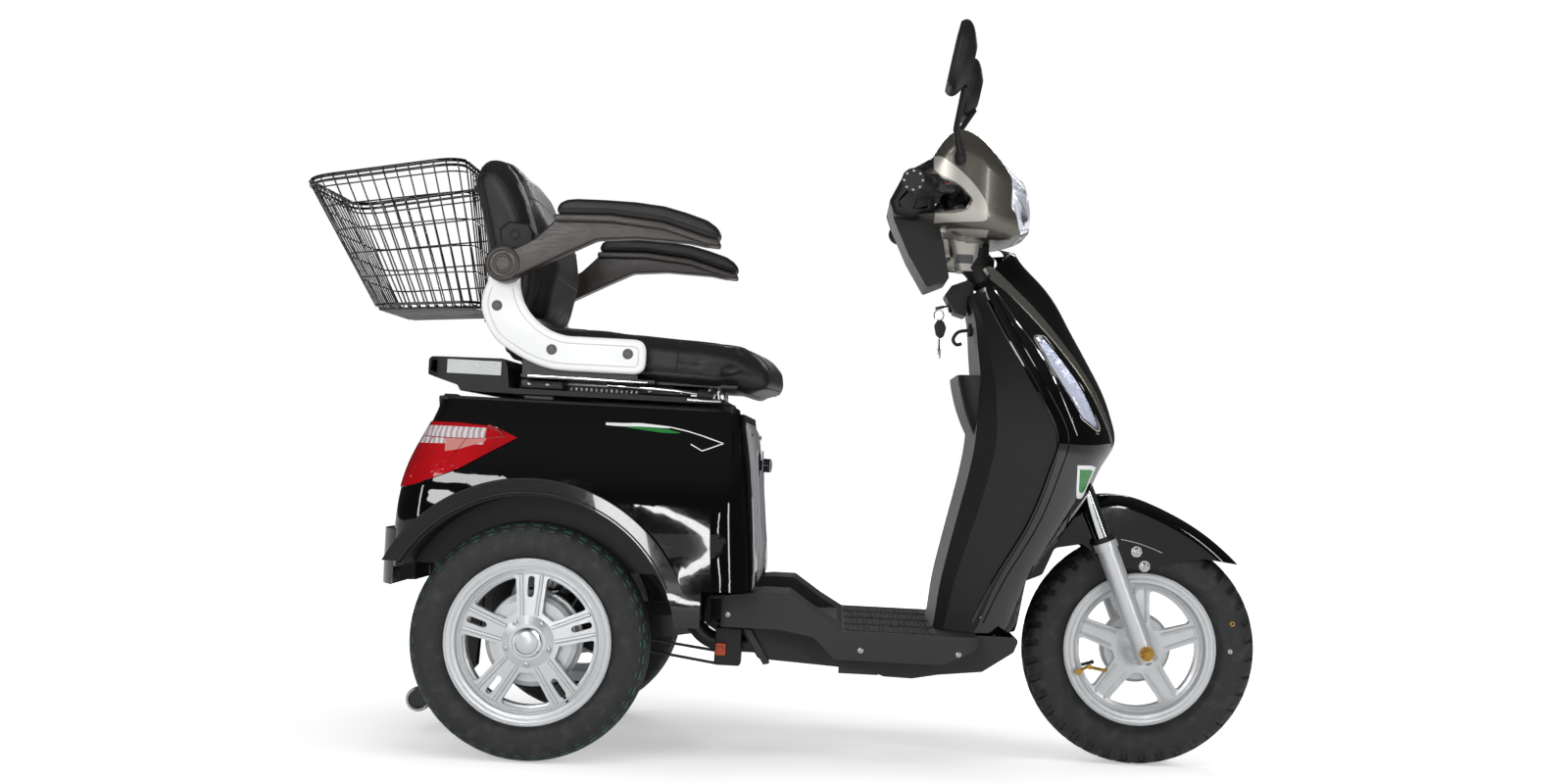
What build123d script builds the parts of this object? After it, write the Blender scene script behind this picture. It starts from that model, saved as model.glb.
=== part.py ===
from build123d import *
import math
import os

# Electric three-wheel scooter: seat and basket over two rear wheels, one steered
# front wheel. Millimetres, +X forward, +Y left, +Z up, ground at z = 0.

# ---------------------------------------------------------------- overall sizes
wheelbase = 1080.0
track = 580.0
basket_overhang = 467.0        # rear axle to the rear rim of the basket

# ---------------------------------------------------------------- wheels
rear_tyre_radius = 203.0
rear_tyre_width = 80.0
front_tyre_radius = 215.0
front_tyre_width = 92.0
rim_radius = 141.0
rim_width = 66.0
rim_seat_radius = 128.0
flange_thickness = 4.0
axle_radius = 10.0
axle_tube_radius = 24.0
running_gap = 1.5              # beside a hub that turns

# ---------------------------------------------------------------- steering
rake = 23.0                    # steering axis leans back by this angle
fork_offset = 35.0             # axle line ahead of the steering axis
fork_leg_spacing = 166.0
fork_tube_radius = 14.0
fork_slider_radius = 19.0
head_tube_radius = 26.0
stem_radius = 15.0
bearing_gap = 0.4
clamp_level = 372.0            # lower fork clamp, along the steering axis
bar_level = 888.0              # handlebar clamp
guard_half = 58.0              # mudguard half-width and wall
guard_thickness = 3.0
tyre_clear_half = 53.5

# ---------------------------------------------------------------- bodywork
skin = 4.0                     # moulded panel thickness
body_half_width = 338.0
body_top = 606.0
arch_radius = 250.0
arch_lip = 26.0
liner_wall_y = 236.0           # inner wall of the rear wheel housings
shield_half_width = 225.0
shield_top = 850.0
apron_top = 935.0

cover_half_width = 174.0       # removable battery cover
panel_gap = 0.5
bumper_low = 286.0
bumper_high = 380.0
plate_holes = 150.0            # rear plate: hole spacing, bore and height
plate_hole = 6.6
plate_height = 350.0

# ---------------------------------------------------------------- floor
floor_half_width = 262.0
floor_top = 243.0
floor_bottom = 194.0
rail_height = 200.0            # centre of the frame rails
rail_half_spacing = 135.0
rail_radius = 16.0
jack_pad_x = 560.0             # ahead of the rear axle
jack_pad_low = 158.0
shock_head_x = 66.0
pan_half_width = 172.0

rear_rail_height = 330.0
box_top = 590.7                # centre of the seat box's top tubes
head_tube_low = 420.0          # along the steering axis
head_tube_high = 600.0
tip_x_behind = 229.0           # trailing wheel behind the rear axle
tip_z = 65.0
tip_y = 100.0
tip_radius = 22.0
tip_width = 20.0

# ---------------------------------------------------------------- seat
lid_bottom = 622.0
lid_thickness = 9.0
lid_half_width = 205.0
cushion_half_width = 222.0
backrest_half_width = 218.0
bracket_gap = 4.0              # cushion to the side brackets
bracket_thickness = 14.0
arm_clearance = 0.5
arm_z = 840.0
hinge_height = 615.0
hinge_places = (-90.0, 90.0)
rail_top = 647.0
pan_low = 651.0
pan_high = 656.0
basket_half_width = 168.0
basket_wire = 5.0

# ---------------------------------------------------------------- places
front_reach = wheelbase + front_tyre_radius
XR = (basket_overhang - front_reach) / 2.0     # rear axle
XF = XR + wheelbase                            # front axle
ZR = rear_tyre_radius
lid_top = lid_bottom + lid_thickness
hinge_x = XR + 304
arm_x = XR - 83
tip_x = XR - tip_x_behind
ZF = front_tyre_radius
lean = math.radians(rake)
UP = (-math.sin(lean), math.cos(lean))         # along the steering axis
BACK = (-math.cos(lean), -math.sin(lean))      # square to it, to the rear


def steer(along, back=0.0):
    """Point (x, z) that far up the steering axis from the wheel centre's level."""
    x = XF + BACK[0] * (fork_offset + back) + UP[0] * along
    z = ZF + BACK[1] * (fork_offset + back) + UP[1] * along
    return x, z


bar_x, bar_z = steer(bar_level + 13)


# ---------------------------------------------------------------- helpers
def side_plane(y):
    """Plane square to Y whose sketch axes are X and Z; it extrudes to the right."""
    return Plane(origin=(0, y, 0), x_dir=(1, 0, 0), z_dir=(0, -1, 0))


def slab(face, y_low, y_high):
    """Extrude a side-view face between two Y values."""
    return extrude(side_plane(y_high) * face, amount=y_high - y_low)


def rounded(points, radius):
    """Closed outline with rounded corners, as a face."""
    return make_face(FilletPolyline(*points, radius=radius, close=True))


def mirrored(shape):
    return mirror(shape, about=Plane.XZ)


def both_sides(shape):
    return Compound(children=[shape, mirrored(shape)])


def tube(points, radius, bend, bore=0.0):
    """Round tube along straight runs with bends."""
    if len(points) > 2:
        path = FilletPolyline(*points, radius=bend)
    else:
        path = Line(*points)
    start = Plane(origin=path @ 0, z_dir=path % 0)
    ring = Circle(radius) - Circle(bore) if bore else Circle(radius)
    return sweep(start * ring, path=path)


def rod(a, b, radius):
    """Solid round bar between two points."""
    return tube([a, b], radius, 0)


def cross_bar(x, z, radius, y_low, y_high):
    """Round bar along Y."""
    plane = Plane(origin=(x, y_low, z), x_dir=(1, 0, 0), z_dir=(0, 1, 0))
    return extrude(plane * Circle(radius), amount=y_high - y_low)


def block(x0, x1, y0, y1, z0, z1):
    """Box between two corners."""
    place = Pos((x0 + x1) / 2, (y0 + y1) / 2, (z0 + z1) / 2)
    return place * Box(x1 - x0, y1 - y0, z1 - z0)


# ---------------------------------------------------------------- wheels
def tyre(radius, width):
    """Rubber tyre on the Y axis: straight beads, rounded sidewalls and crown."""
    bead = rim_width / 2 - flange_thickness - 0.5
    flange_top = rim_radius + 1.0
    half = width / 2
    wall = radius - flange_top
    left = [
        (bead, rim_seat_radius),
        (bead, flange_top),
        (half * 0.93, flange_top + wall * 0.16),
        (half, flange_top + wall * 0.4),
        (half * 0.97, flange_top + wall * 0.62),
        (half * 0.84, radius - wall * 0.17),
        (half * 0.52, radius - wall * 0.04),
    ]
    right = [(-y, r) for y, r in reversed(left)]
    return turned(left + [(0, radius)] + right)


def rim_barrel():
    """Drop-centre barrel with two flanges, turned about the Y axis."""
    half = rim_width / 2
    seat = half - flange_thickness
    outer = [
        (half, rim_radius - 6),
        (half, rim_radius),
        (seat, rim_radius),
        (seat, rim_seat_radius),
        (12, rim_seat_radius - 2),
        (8, rim_seat_radius - 14),
    ]
    inner = [
        (10, rim_seat_radius - 19),
        (14, rim_seat_radius - 8),
        (half - 2, rim_seat_radius - 5),
    ]
    left = [(-y, r) for y, r in reversed(outer)]
    left_inner = [(-y, r) for y, r in reversed(inner)]
    outline = outer + left + left_inner + inner
    face = make_face(Polyline(*outline, close=True))
    return revolve(Plane.YZ * face, axis=Axis.Y, revolution_arc=360)


def turned(profile):
    """Solid turned about the Y axis from (y, radius) corners."""
    face = make_face(Polyline(*profile, close=True))
    return revolve(Plane.YZ * face, axis=Axis.Y, revolution_arc=360)


def spoke_windows(count, inner, outer, root_half, tip_half, corner):
    """Openings between spokes: a ring less the tapered spokes, corners rounded."""
    ring = Circle(outer) - Circle(inner)
    for k in range(count):
        spoke = Polyline(
            (inner - 20, -root_half),
            (outer + 20, -tip_half),
            (outer + 20, tip_half),
            (inner - 20, root_half),
            close=True,
        )
        ring -= Rot(0, 0, 90 + k * 360 / count) * make_face(spoke)
    return fillet(ring.vertices(), corner)


def rear_rim():
    """Cast rim with five double spokes; its outer face looks to +Y."""
    web = turned([
        (4, 0), (30, 0), (30, 30), (24, 44), (20, 123.5), (6, 123.5), (8, 44), (4, 34),
    ])
    face_y = 60
    windows = spoke_windows(5, 52, 113, 19, 29, 6)
    web -= slab(windows, -face_y, face_y)
    for k in range(5):
        slot = Pos(93, 0) * SlotOverall(36, 11)
        web -= slab(Rot(0, 0, 90 + 72 * k) * slot, -face_y, face_y)
    hub = turned([(-38, axle_radius + 0.3), (-38, 34), (6, 34), (6, axle_radius + 0.3)])
    drum = turned([(-34, 34), (-34, 78), (-4, 78), (0, 70), (0, 34)])
    cap = turned([(29, 0), (29, 26), (36, 24), (38, 16), (38, 0)])
    return rim_barrel() + web + hub + drum + cap


def front_rim():
    """Cast rim with five broad spokes about a brake hub, bored for the axle."""
    web = turned([
        (-12, 14), (12, 14), (14, 40), (9, 112), (-9, 112), (-14, 40),
    ])
    windows = spoke_windows(5, 46, 113, 21, 17, 10)
    web -= slab(windows, -60, 60)
    half_hub = fork_leg_spacing / 2 - fork_slider_radius - running_gap
    bore = axle_radius + 0.3
    hub = turned([(-half_hub, bore), (-half_hub, 24), (-20, 30), (30, 30), (half_hub, 22), (half_hub, bore)])
    drum = turned([(8, 26), (8, 60), (14, 66), (34, 66), (38, 60), (38, 26)])
    return rim_barrel() + (web + hub + drum)


def build_wheels():
    half_track = track / 2
    left_tyre = Pos(XR, half_track, ZR) * tyre(rear_tyre_radius, rear_tyre_width)
    left_rim = Pos(XR, half_track, ZR) * rear_rim()
    centre = Pos(XF, 0, ZF)
    return {
        "rear_tyre_left": left_tyre,
        "rear_tyre_right": mirrored(left_tyre),
        "rear_rim_left": left_rim,
        "rear_rim_right": mirrored(left_rim),
        "front_tyre": centre * tyre(front_tyre_radius, front_tyre_width),
        "front_rim": centre * front_rim(),
    }


# ---------------------------------------------------------------- rear body
def plan_section(z, rear, front, half, corner):
    """Rounded rectangle at height z; rear and front are measured from the axle."""
    length = front - rear
    centre = XR + (front + rear) / 2
    return Pos(centre, 0, z) * RectangleRounded(length, half * 2, corner)


def body_form(inset):
    """Moulded body around the battery box, widening from the lid to the arches."""
    wide = body_half_width
    levels = [
        (body_top, -192, 338, wide - 106, 34),
        (body_top - 26, -198, 342, wide - 90, 40),
        (530, -216, 352, wide - 52, 52),
        (470, -233, 360, wide - 14, 62),
        (420, -241, 365, wide - 3, 68),
        (330, -244, 373, wide, 70),
        (242, -240, 361, wide - 2, 70),
    ]
    faces = []
    for z, rear, front, half, corner in levels:
        faces.append(plan_section(z, rear + inset, front - inset, half - inset, corner - inset))
    return loft(faces)


def wheel_housing(radius, y_low, y_high):
    """Room for one left rear wheel: round above the axle, straight below it."""
    round_part = cross_bar(XR, ZR, radius, y_low, y_high)
    below = block(XR - radius, XR + radius, y_low, y_high, 0, ZR)
    return round_part + below


def lamp_outline():
    """Side view of a tail lamp, swept forward to a point."""
    points = [
        (XR - 250, 448),
        (XR - 202, 458),
        (XR - 131, 488),
        (XR - 42, 545),
        (XR - 85, 562),
        (XR - 144, 566),
        (XR - 250, 566),
    ]
    return make_face(Polyline(*points, close=True))


def build_body():
    outer = body_form(0)
    shell = outer - body_form(skin)
    shell -= block(XR - 300, XR, -400, 400, 0, 318)
    shell -= block(XR + 288, XR + 400, -400, 400, 0, 305)
    shell -= block(XR + 320, XR + 400, -cover_half_width - panel_gap, cover_half_width + panel_gap, 0, 595)
    shell += outer & block(XR - 300, XR + 400, -300, 300, body_top - skin, body_top)
    shell -= block(XR - 140, XR + 296, -180, 180, body_top - 20, body_top + 20)
    for y in hinge_places:
        shell -= block(hinge_x - 44, hinge_x + 12, y - 26, y + 26, box_top + 2, body_top + 4)
    wheel_cut = wheel_housing(arch_radius, liner_wall_y + 40, 400)
    shell = shell - wheel_cut - mirrored(wheel_cut)
    lip = cross_bar(XR, ZR, arch_radius + arch_lip, body_half_width - 20, body_half_width + 8)
    lip -= cross_bar(XR, ZR, arch_radius, 0, 400)
    lip -= block(XR - 400, XR + 400, 0, 400, -100, 300)
    lip -= block(XR - 400, XR - 100, 0, 400, -100, 330)
    shell = shell + lip + mirrored(lip)
    lamp_cut = slab(lamp_outline(), 150, 400)
    lamp_skin = body_form(-2) - body_form(16)
    lamp = lamp_skin & slab(offset(lamp_outline(), -0.3), 150.3, 400)
    shell = shell - lamp_cut - mirrored(lamp_cut)
    liner = wheel_housing(arch_radius - 0.3, liner_wall_y, body_half_width - skin - 4)
    liner -= wheel_housing(arch_radius - skin, liner_wall_y + skin, 400)
    liner -= block(XR - 400, XR + 400, 0, 400, -100, 322)
    bumper = extrude(plan_section(bumper_low, -270, 0, 330, 110), amount=bumper_high - bumper_low)
    bumper -= body_form(-0.3)
    bumper -= block(XR - 180, XR + 10, -400, 400, 0, 500)
    bumper += block(XR - 262, XR - 228, -180, 180, bumper_low, 317)
    for side in (-1, 1):
        hole = Plane(origin=(XR - 290, side * plate_holes / 2, plate_height), z_dir=(1, 0, 0))
        bore = extrude(hole * Circle(plate_hole / 2), amount=80)
        bumper -= bore
        shell -= bore
    return {
        "rear_body": shell,
        "tail_lights": both_sides(lamp),
        "wheel_arch_liners": both_sides(liner),
        "rear_bumper": bumper,
        "battery_cover": battery_cover(),
    }


def battery_cover():
    """Bowed front panel of the battery box with its turn knob."""
    front = [(338, 594), (348, 577), (356, 527), (365, 425), (373, 374), (369, 305)]
    back = [(x - 13, z) for x, z in reversed(front[1:])]
    outline = [(XR + x, z) for x, z in front + back]
    cover = slab(make_face(Polyline(*outline, close=True)), -cover_half_width, cover_half_width)
    knob_plane = Plane(origin=(XR + 351, 0, 518), z_dir=(1, 0, 0))
    knob = extrude(knob_plane * Circle(7), amount=16)
    lobes = Circle(9)
    for k in range(4):
        lobes += Rot(0, 0, 45 + 90 * k) * Pos(9, 0) * Circle(6)
    knob += extrude(knob_plane.offset(14) * lobes, amount=16)
    return cover + knob


# ---------------------------------------------------------------- frame
def build_frame():
    y = rail_half_spacing
    rail_path = [
        (XF - 330, y, rail_height),
        (XR + 290, y, rail_height),
        (XR + 180, y, rear_rail_height),
        (XR - 205, y, rear_rail_height),
    ]
    rail = tube(rail_path, rail_radius, 60)
    frame = rail + mirrored(rail)
    for x, z in [
        (XF - 345, rail_height),
        (XR + 420, rail_height),
        (XR + 110, rear_rail_height),
        (XR - 190, rear_rail_height),
    ]:
        frame += cross_bar(x, z, rail_radius - 2, -y, y)
    for x, foot in ((XR - 150, rear_rail_height), (XR + 272, rail_height + 21)):
        post = rod((x, y, foot), (x, y, box_top), 10)
        frame += post + mirrored(post) + cross_bar(x, box_top, 11, -y - 10.5, y + 10.5)
    top_rail = rod((XR - 150, y, box_top), (XR + 272, y, box_top), 10.5)
    frame += top_rail + mirrored(top_rail)
    low = steer(head_tube_low)
    high = steer(head_tube_high)
    knee = (XF - 300, 0, 440)
    down_tube = tube(
        [(XF - 322, 0, rail_height), knee, (steer(head_tube_low + 70)[0], 0, steer(head_tube_low + 70)[1])],
        20, 70,
    )
    frame += down_tube
    frame += slab(rounded([
        (XF - 300, 428), (XF - 356.4, 428), (XF - 350.4, 455), (XF - 300, 455),
    ], 2), -30, 30)
    frame += cross_bar(XF - 322, rail_height, rail_radius, -y, y)
    pin = cross_bar(XR + shock_head_x, box_top, 6, y, y + 62)
    frame += pin + mirrored(pin)
    head = tube([(low[0], 0, low[1]), (high[0], 0, high[1])], head_tube_radius, 0)
    frame += head
    axis_bore = rod(
        (steer(head_tube_low - 20)[0], 0, steer(head_tube_low - 20)[1]),
        (steer(head_tube_high + 20)[0], 0, steer(head_tube_high + 20)[1]),
        stem_radius + bearing_gap,
    )
    frame -= axis_bore
    for side in (-1, 1):
        pad = Pos(XR + jack_pad_x, side * y, (jack_pad_low + rail_height - rail_radius + 4) / 2)
        frame += pad * Box(70, 46, rail_height - rail_radius + 4 - jack_pad_low)
    return frame


def anti_tip_bracket():
    """Plate arm that carries one small trailing wheel behind the rear axle."""
    bracket_top = rear_rail_height - rail_radius + 2 - 0.3
    inner = rounded([
        (XR - 190, bracket_top), (XR - 158, bracket_top), (XR - 168, tip_z + 40), (tip_x + 16, tip_z - 10),
        (tip_x - 10, tip_z - 12), (tip_x - 12, tip_z + 12), (XR - 194, tip_z + 60),
    ], 6)
    half_gap = tip_width / 2 + running_gap
    arm_a = slab(inner, tip_y + half_gap, tip_y + half_gap + 5)
    arm_b = slab(inner, tip_y - half_gap - 5, tip_y - half_gap)
    spacer = block(XR - 200, XR - 172, tip_y - half_gap - 5, tip_y + half_gap + 5, bracket_top - 24, bracket_top)
    pin = cross_bar(tip_x, tip_z, 4, tip_y - half_gap - 5, tip_y + half_gap + 5)
    return arm_a + arm_b + spacer + pin


def tip_wheel():
    wheel = turned([
        (-tip_width / 2, 4.3), (-tip_width / 2, tip_radius - 3), (-tip_width / 2 + 3, tip_radius),
        (tip_width / 2 - 3, tip_radius), (tip_width / 2, tip_radius - 3), (tip_width / 2, 4.3),
    ])
    return Pos(tip_x, tip_y, tip_z) * wheel


def build_axle():
    """Live rear axle: tube, gear housing, motor and two trailing arms."""
    end = track / 2 - rim_width / 2 - 6
    axle = cross_bar(XR, ZR, axle_tube_radius, -end, end)
    axle += cross_bar(XR, ZR, axle_radius, -track / 2 - 2, track / 2 + 2)
    axle += cross_bar(XR, ZR, 62, -45, 45)
    axle += cross_bar(XR + 95, ZR + 20, 58, -100, 30)
    axle += cross_bar(XR + 95, ZR + 20, 64, -24, 14)
    axle += block(XR, XR + 95, -24, 14, ZR - 40, ZR + 60)
    for side in (-1, 1):
        y_mid = side * rail_half_spacing
        arm = rounded([
            (XR - 34, ZR - 20), (XR - 34, ZR + 20), (XR + 20, ZR + 34),
            (XR + 290, rail_height + 45), (XR + 290, rail_height + 18), (XR + 20, ZR - 34),
        ], 8)
        room = rod((XR + 310, y_mid, rail_height - 24), (XR + 180, y_mid, rear_rail_height), rail_radius + 0.3)
        axle += slab(arm, y_mid - 4, y_mid + 4) - room - block(XR + 262, XR + 340, y_mid - 9, y_mid + 9, 150, 300)
    return axle


def rear_shock():
    """Left coil-over damper from the axle to its pin on the seat frame."""
    y = rail_half_spacing + 42
    foot_z = ZR + axle_tube_radius + 2.3
    head_x = XR + shock_head_x
    damper = rod((XR - 6, y, foot_z), (head_x, y, box_top), 8)
    damper += rod((XR + 6, y, foot_z + 60), (head_x - 5, y, box_top - 32), 20)
    damper += cross_bar(head_x, box_top, 10.8, y - 12, y + 12)
    return damper - cross_bar(head_x, box_top, 6.3, y - 20, y + 30)


# ---------------------------------------------------------------- floor
def build_floor():
    """Moulded footboard with a raised heel on each side, and the pan under it."""
    r = XR
    side_view = rounded([
        (r + 291, 240), (r + 291, 290), (r + 388, 303), (r + 432, 303), (r + 484, 268),
        (r + 528, floor_top), (r + 768, floor_top), (r + 760, 222), (r + 700, floor_bottom),
        (r + 516, floor_bottom), (r + 479, 230), (r + 420, 240),
    ], 7)
    plan = Pos(r + 530, 0, 0) * RectangleRounded(478, floor_half_width * 2, 46)
    prism = extrude(plan, amount=400)
    floor = slab(side_view, -floor_half_width, floor_half_width) & prism
    valley = rounded([
        (r + 200, floor_top + 6), (r + 560, floor_top + 6), (r + 560, 360), (r + 200, 360),
    ], 5)
    floor -= slab(valley, -130, 130)
    hollow_plan = Pos(r + 530, 0, 0) * RectangleRounded(478 - 2 * skin, (floor_half_width - skin) * 2, 42)
    hollow = extrude(hollow_plan, amount=floor_top - skin)
    floor -= hollow
    heel_room = rounded([
        (r + 297, 230), (r + 297, 285), (r + 390, 298), (r + 430, 298), (r + 480, 264),
        (r + 510, floor_top - skin), (r + 480, 220), (r + 400, 220),
    ], 5)
    heel = slab(heel_room, 134, floor_half_width - skin)
    floor = floor - heel - mirrored(heel)
    floor -= rod((XF - 322, 0, rail_height), (XF - 300, 0, 440), 21)
    pan_view = rounded([
        (r + 353, 222), (r + 382, 178), (r + 500, 172), (r + 575, 168), (r + 605, 158), (r + 655, 157),
        (r + 700, 166), (r + 778, 175), (r + 832, 212), (r + 842, floor_top - skin - 0.3), (r + 353, floor_top - skin - 0.3),
    ], 8)
    pan_inside = rounded([
        (r + 357, 222), (r + 385, 182), (r + 500, 176), (r + 577, 172), (r + 606, 162), (r + 654, 161),
        (r + 699, 170), (r + 776, 179), (r + 828, 214), (r + 836, 300), (r + 357, 300),
    ], 6)
    half = pan_half_width
    pan = slab(pan_view, -half, half) - slab(pan_inside, skin - half, half - skin)
    rail_room = tube([
        (r + 700, rail_half_spacing, rail_height), (r + 290, rail_half_spacing, rail_height),
        (r + 180, rail_half_spacing, rear_rail_height),
    ], rail_radius + 1, 60)
    pan -= rail_room + mirrored(rail_room)
    for side in (-1, 1):
        pad = Pos(r + jack_pad_x, side * rail_half_spacing, 160)
        pan -= pad * Box(71, 47, 60)
    return {"footboard": floor, "belly_pan": pan}


# ---------------------------------------------------------------- front body
def front_levels(top, count):
    """Plan of the front body at even heights up to top, x from the front axle:
    z, rear x, half-width there, seam x, half-width, edge x, half-width there, nose x."""
    w = shield_half_width
    levels = [
        (244, -391, w - 90, -321, w - 45, -240, 105, -238),
        (340, -379, w - 88, -285, w - 32, -205, 110, -212),
        (440, -358, w - 88, -233, w - 15, -150, 108, -160),
        (530, -338, w - 86, -202, w - 5, -106, 104, -104),
        (600, -330, w - 85, -190, w, -92, 130, -60),
        (690, -326, w - 85, -237, w - 10, -130, 130, -94),
        (780, -338, w - 110, -288, w - 50, -200, 105, -146),
        (850, -348, w - 135, -326, w - 92, -254, 76, -188),
        (apron_top, -330, w - 180, -304, w - 165, -284, 42, -264),
    ]
    low = levels[0][0]
    plans = []
    for i in range(count):
        z = low + (top - low) * i / (count - 1)
        below = max(level for level in levels[:-1] if level[0] <= z)
        above = levels[levels.index(below) + 1]
        share = (z - below[0]) / (above[0] - below[0])
        plans.append([a + (b - a) * share for a, b in zip(below, above)])
    return plans


def apron_curve(x_seam, half, x_edge, edge_half, x_nose):
    return Spline(
        (x_seam, -half), (x_edge, -edge_half), (x_nose, 0), (x_edge, edge_half), (x_seam, half),
    )


def apron_form(outset, thickness):
    """Crescent-shaped wall of the apron, lofted through its plan sections."""
    faces = []
    for z, _, _, seam, half, edge, edge_half, nose in front_levels(apron_top, 17):
        seam, edge, nose = XF + seam - outset, XF + edge, XF + nose
        o = outset
        outer = apron_curve(seam, half + o, edge + o, edge_half + o / 2, nose + o)
        t = thickness - o
        inner = apron_curve(seam, half - t, edge - t, edge_half - t / 2, nose - t)
        ends = Line((seam, half + o), (seam, half - t)) + Line((seam, -half - o), (seam, t - half))
        faces.append(Pos(0, 0, z) * make_face(outer + inner + ends))
    return loft(faces)


def shield_form():
    """U-shaped wall of the leg shield, open to the front."""
    faces = []
    t = skin
    for z, rear, rear_half, seam, half, _, _, _ in front_levels(shield_top, 15):
        front = XF + seam - panel_gap
        back = XF + rear
        bevel = (front - back) * 0.25
        flat = rear_half - 12
        shoulder = rear_half + (half - rear_half) * 0.25
        outline = [
            (front, half), (back + bevel, shoulder), (back, flat),
            (back, -flat), (back + bevel, -shoulder), (front, -half),
            (front, t - half), (back + bevel + 2, t - shoulder), (back + t, 2 - flat),
            (back + t, flat - 2), (back + bevel + 2, shoulder - t), (front, half - t),
        ]
        faces.append(Pos(0, 0, z) * make_face(Polyline(*outline, close=True)))
    return loft(faces)


def build_front():
    clear = steering_clearance()
    apron = apron_form(0, skin) - clear
    shield = shield_form() - clear - apron_form(0.8, skin + 1.6)
    behind = block(XF - 500, XF - 328, -200, 200, 500, 760)
    shield += (pocket_form(0) - pocket_form(skin)) & behind
    shield = shield.solids().sort_by(SortBy.VOLUME)[-1]
    lamp_room = slab(side_lamp_view(), 60, 300)
    lamp_glass = slab(offset(side_lamp_view(), -0.3), 60, 300)
    lamp = apron_form(1, skin + 3) & lamp_glass
    apron = apron - lamp_room - mirrored(lamp_room)
    return {
        "front_apron": apron,
        "leg_shield": shield,
        "side_lamps": both_sides(lamp),
        "ignition_lock": ignition_lock(),
    }


def steering_clearance():
    """Everything the steered wheel, mudguard and fork sweep, turned about the axis."""
    profile = [(0, -60), (208, -60), (208, 206), (176, 240), (134, 280), (124, 300), (124, 412), (60, 425), (0, 425)]
    axis_plane = Plane(origin=(steer(0)[0], 0, steer(0)[1]), x_dir=(0, 1, 0), z_dir=(UP[1], 0, -UP[0]))
    face = axis_plane * make_face(Polyline(*profile, close=True))
    axis = Axis((steer(0)[0], 0, steer(0)[1]), (UP[0], 0, UP[1]))
    return revolve(face, axis=axis, revolution_arc=360)


def side_lamp_view():
    """Side view of the lamp let into each side of the apron."""
    x = XF
    return rounded([
        (x - 240, 775), (x - 218, 775), (x - 150, 686), (x - 108, 604), (x - 150, 630), (x - 202, 705),
    ], 6)


def pocket_form(t):
    """Bulged pocket on the back of the leg shield; its mouth is at the rim."""
    x = XF
    levels = [(588 + t, -314, 30, 190, 12), (640, -322, 62, 236, 28), (700, -331, 74, 250, 30)]
    if t:
        levels.append((704, -331.5, 75, 252, 31))
    faces = []
    for z, centre, length, width, corner in levels:
        faces.append(Pos(x + centre, 0, z) * RectangleRounded(length - 2 * t, width - 2 * t, corner - t))
    return loft(faces)


def ignition_lock():
    x = XF
    base = slab(rounded([
        (x - 394, 850.3), (x - 382, 868), (x - 352, 880), (x - 341, 872), (x - 341, 850.3), (x - 352, 850.3),
        (x - 352, 812), (x - 374, 818),
    ], [5, 5, 4, 4, 0.2, 0.2, 3, 5]), -34, 34)
    nose = Plane(origin=(x - 366, 0, 838), z_dir=(BACK[0], 0, BACK[1] + 0.15))
    barrel = extrude(nose * Circle(13), amount=20)
    key_plane = nose.offset(20)
    blade = extrude(key_plane * Rectangle(3, 9), amount=8)
    bow = extrude(key_plane.offset(8) * RectangleRounded(4, 24, 1.5), amount=15)
    return base + barrel + blade + bow


# ---------------------------------------------------------------- seat
def lid_parts():
    r = XR
    half = lid_half_width
    view = rounded([
        (r - 226, 650), (r - 226, 674), (r - 216, 680), (r - 86, 682), (r - 80, 668),
        (r - 76, lid_top), (r + 300, lid_top), (r + 300, lid_bottom), (r - 160, lid_bottom), (r - 166, 632),
    ], [5, 5, 5, 5, 5, 3, 3, 3, 3, 3])
    plan = Pos(r + 37, 0, 0) * RectangleRounded(526, half * 2, 40)
    deck = slab(view, -half, half) & extrude(plan, amount=800)
    deck -= slab(rounded([
        (r - 218, 656), (r - 214, 674), (r - 90, 677), (r - 85, 664), (r - 82, 610), (r - 150, 610),
        (r - 158, 639),
    ], 3), skin - half, half - skin)
    hinge_gap = 0.4
    for y in hinge_places:
        ear = block(r + 286, r + 300, y - 14, y + 14, hinge_height - 4, lid_bottom + 4)
        knuckle = cross_bar(hinge_x, hinge_height, 9, y - 14, y + 14)
        deck = deck + ear + knuckle
        deck -= cross_bar(hinge_x, hinge_height, 4 + hinge_gap, y - 20, y + 20)
    reflector = block(r - 184, r - 90, -half - 4, -half, 652, 676)
    rear_reflector = block(r - 230, r - 226, -60, 60, 655, 668)
    rails = block(r - 70, r + 210, 98, 132, lid_top, lid_top + 3)
    rails += block(r - 70, r + 210, 98, 102, lid_top, rail_top)
    rails += block(r - 70, r + 210, 128, 132, lid_top, rail_top)
    return {
        "seat_deck": deck,
        "deck_reflectors": Compound(children=[reflector, mirrored(reflector), rear_reflector]),
        "seat_rails": both_sides(rails),
    }


def hinge_base():
    """Brackets on the seat box that carry the lid's hinge pins."""
    base = None
    for y in hinge_places:
        for side in (-1, 1):
            y_mid = y + side * 18
            cheek = block(hinge_x - 10, hinge_x + 8, y_mid - 3, y_mid + 3, box_top + 6, hinge_height + 6)
            base = cheek if base is None else base + cheek
        base += cross_bar(hinge_x, hinge_height, 4, y - 21, y + 21)
        base += block(hinge_x - 42, hinge_x + 8, y - 21, y + 21, box_top + 4, box_top + 9)
    return base


def side_points(points):
    return [(XR + x, z) for x, z in points]


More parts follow.
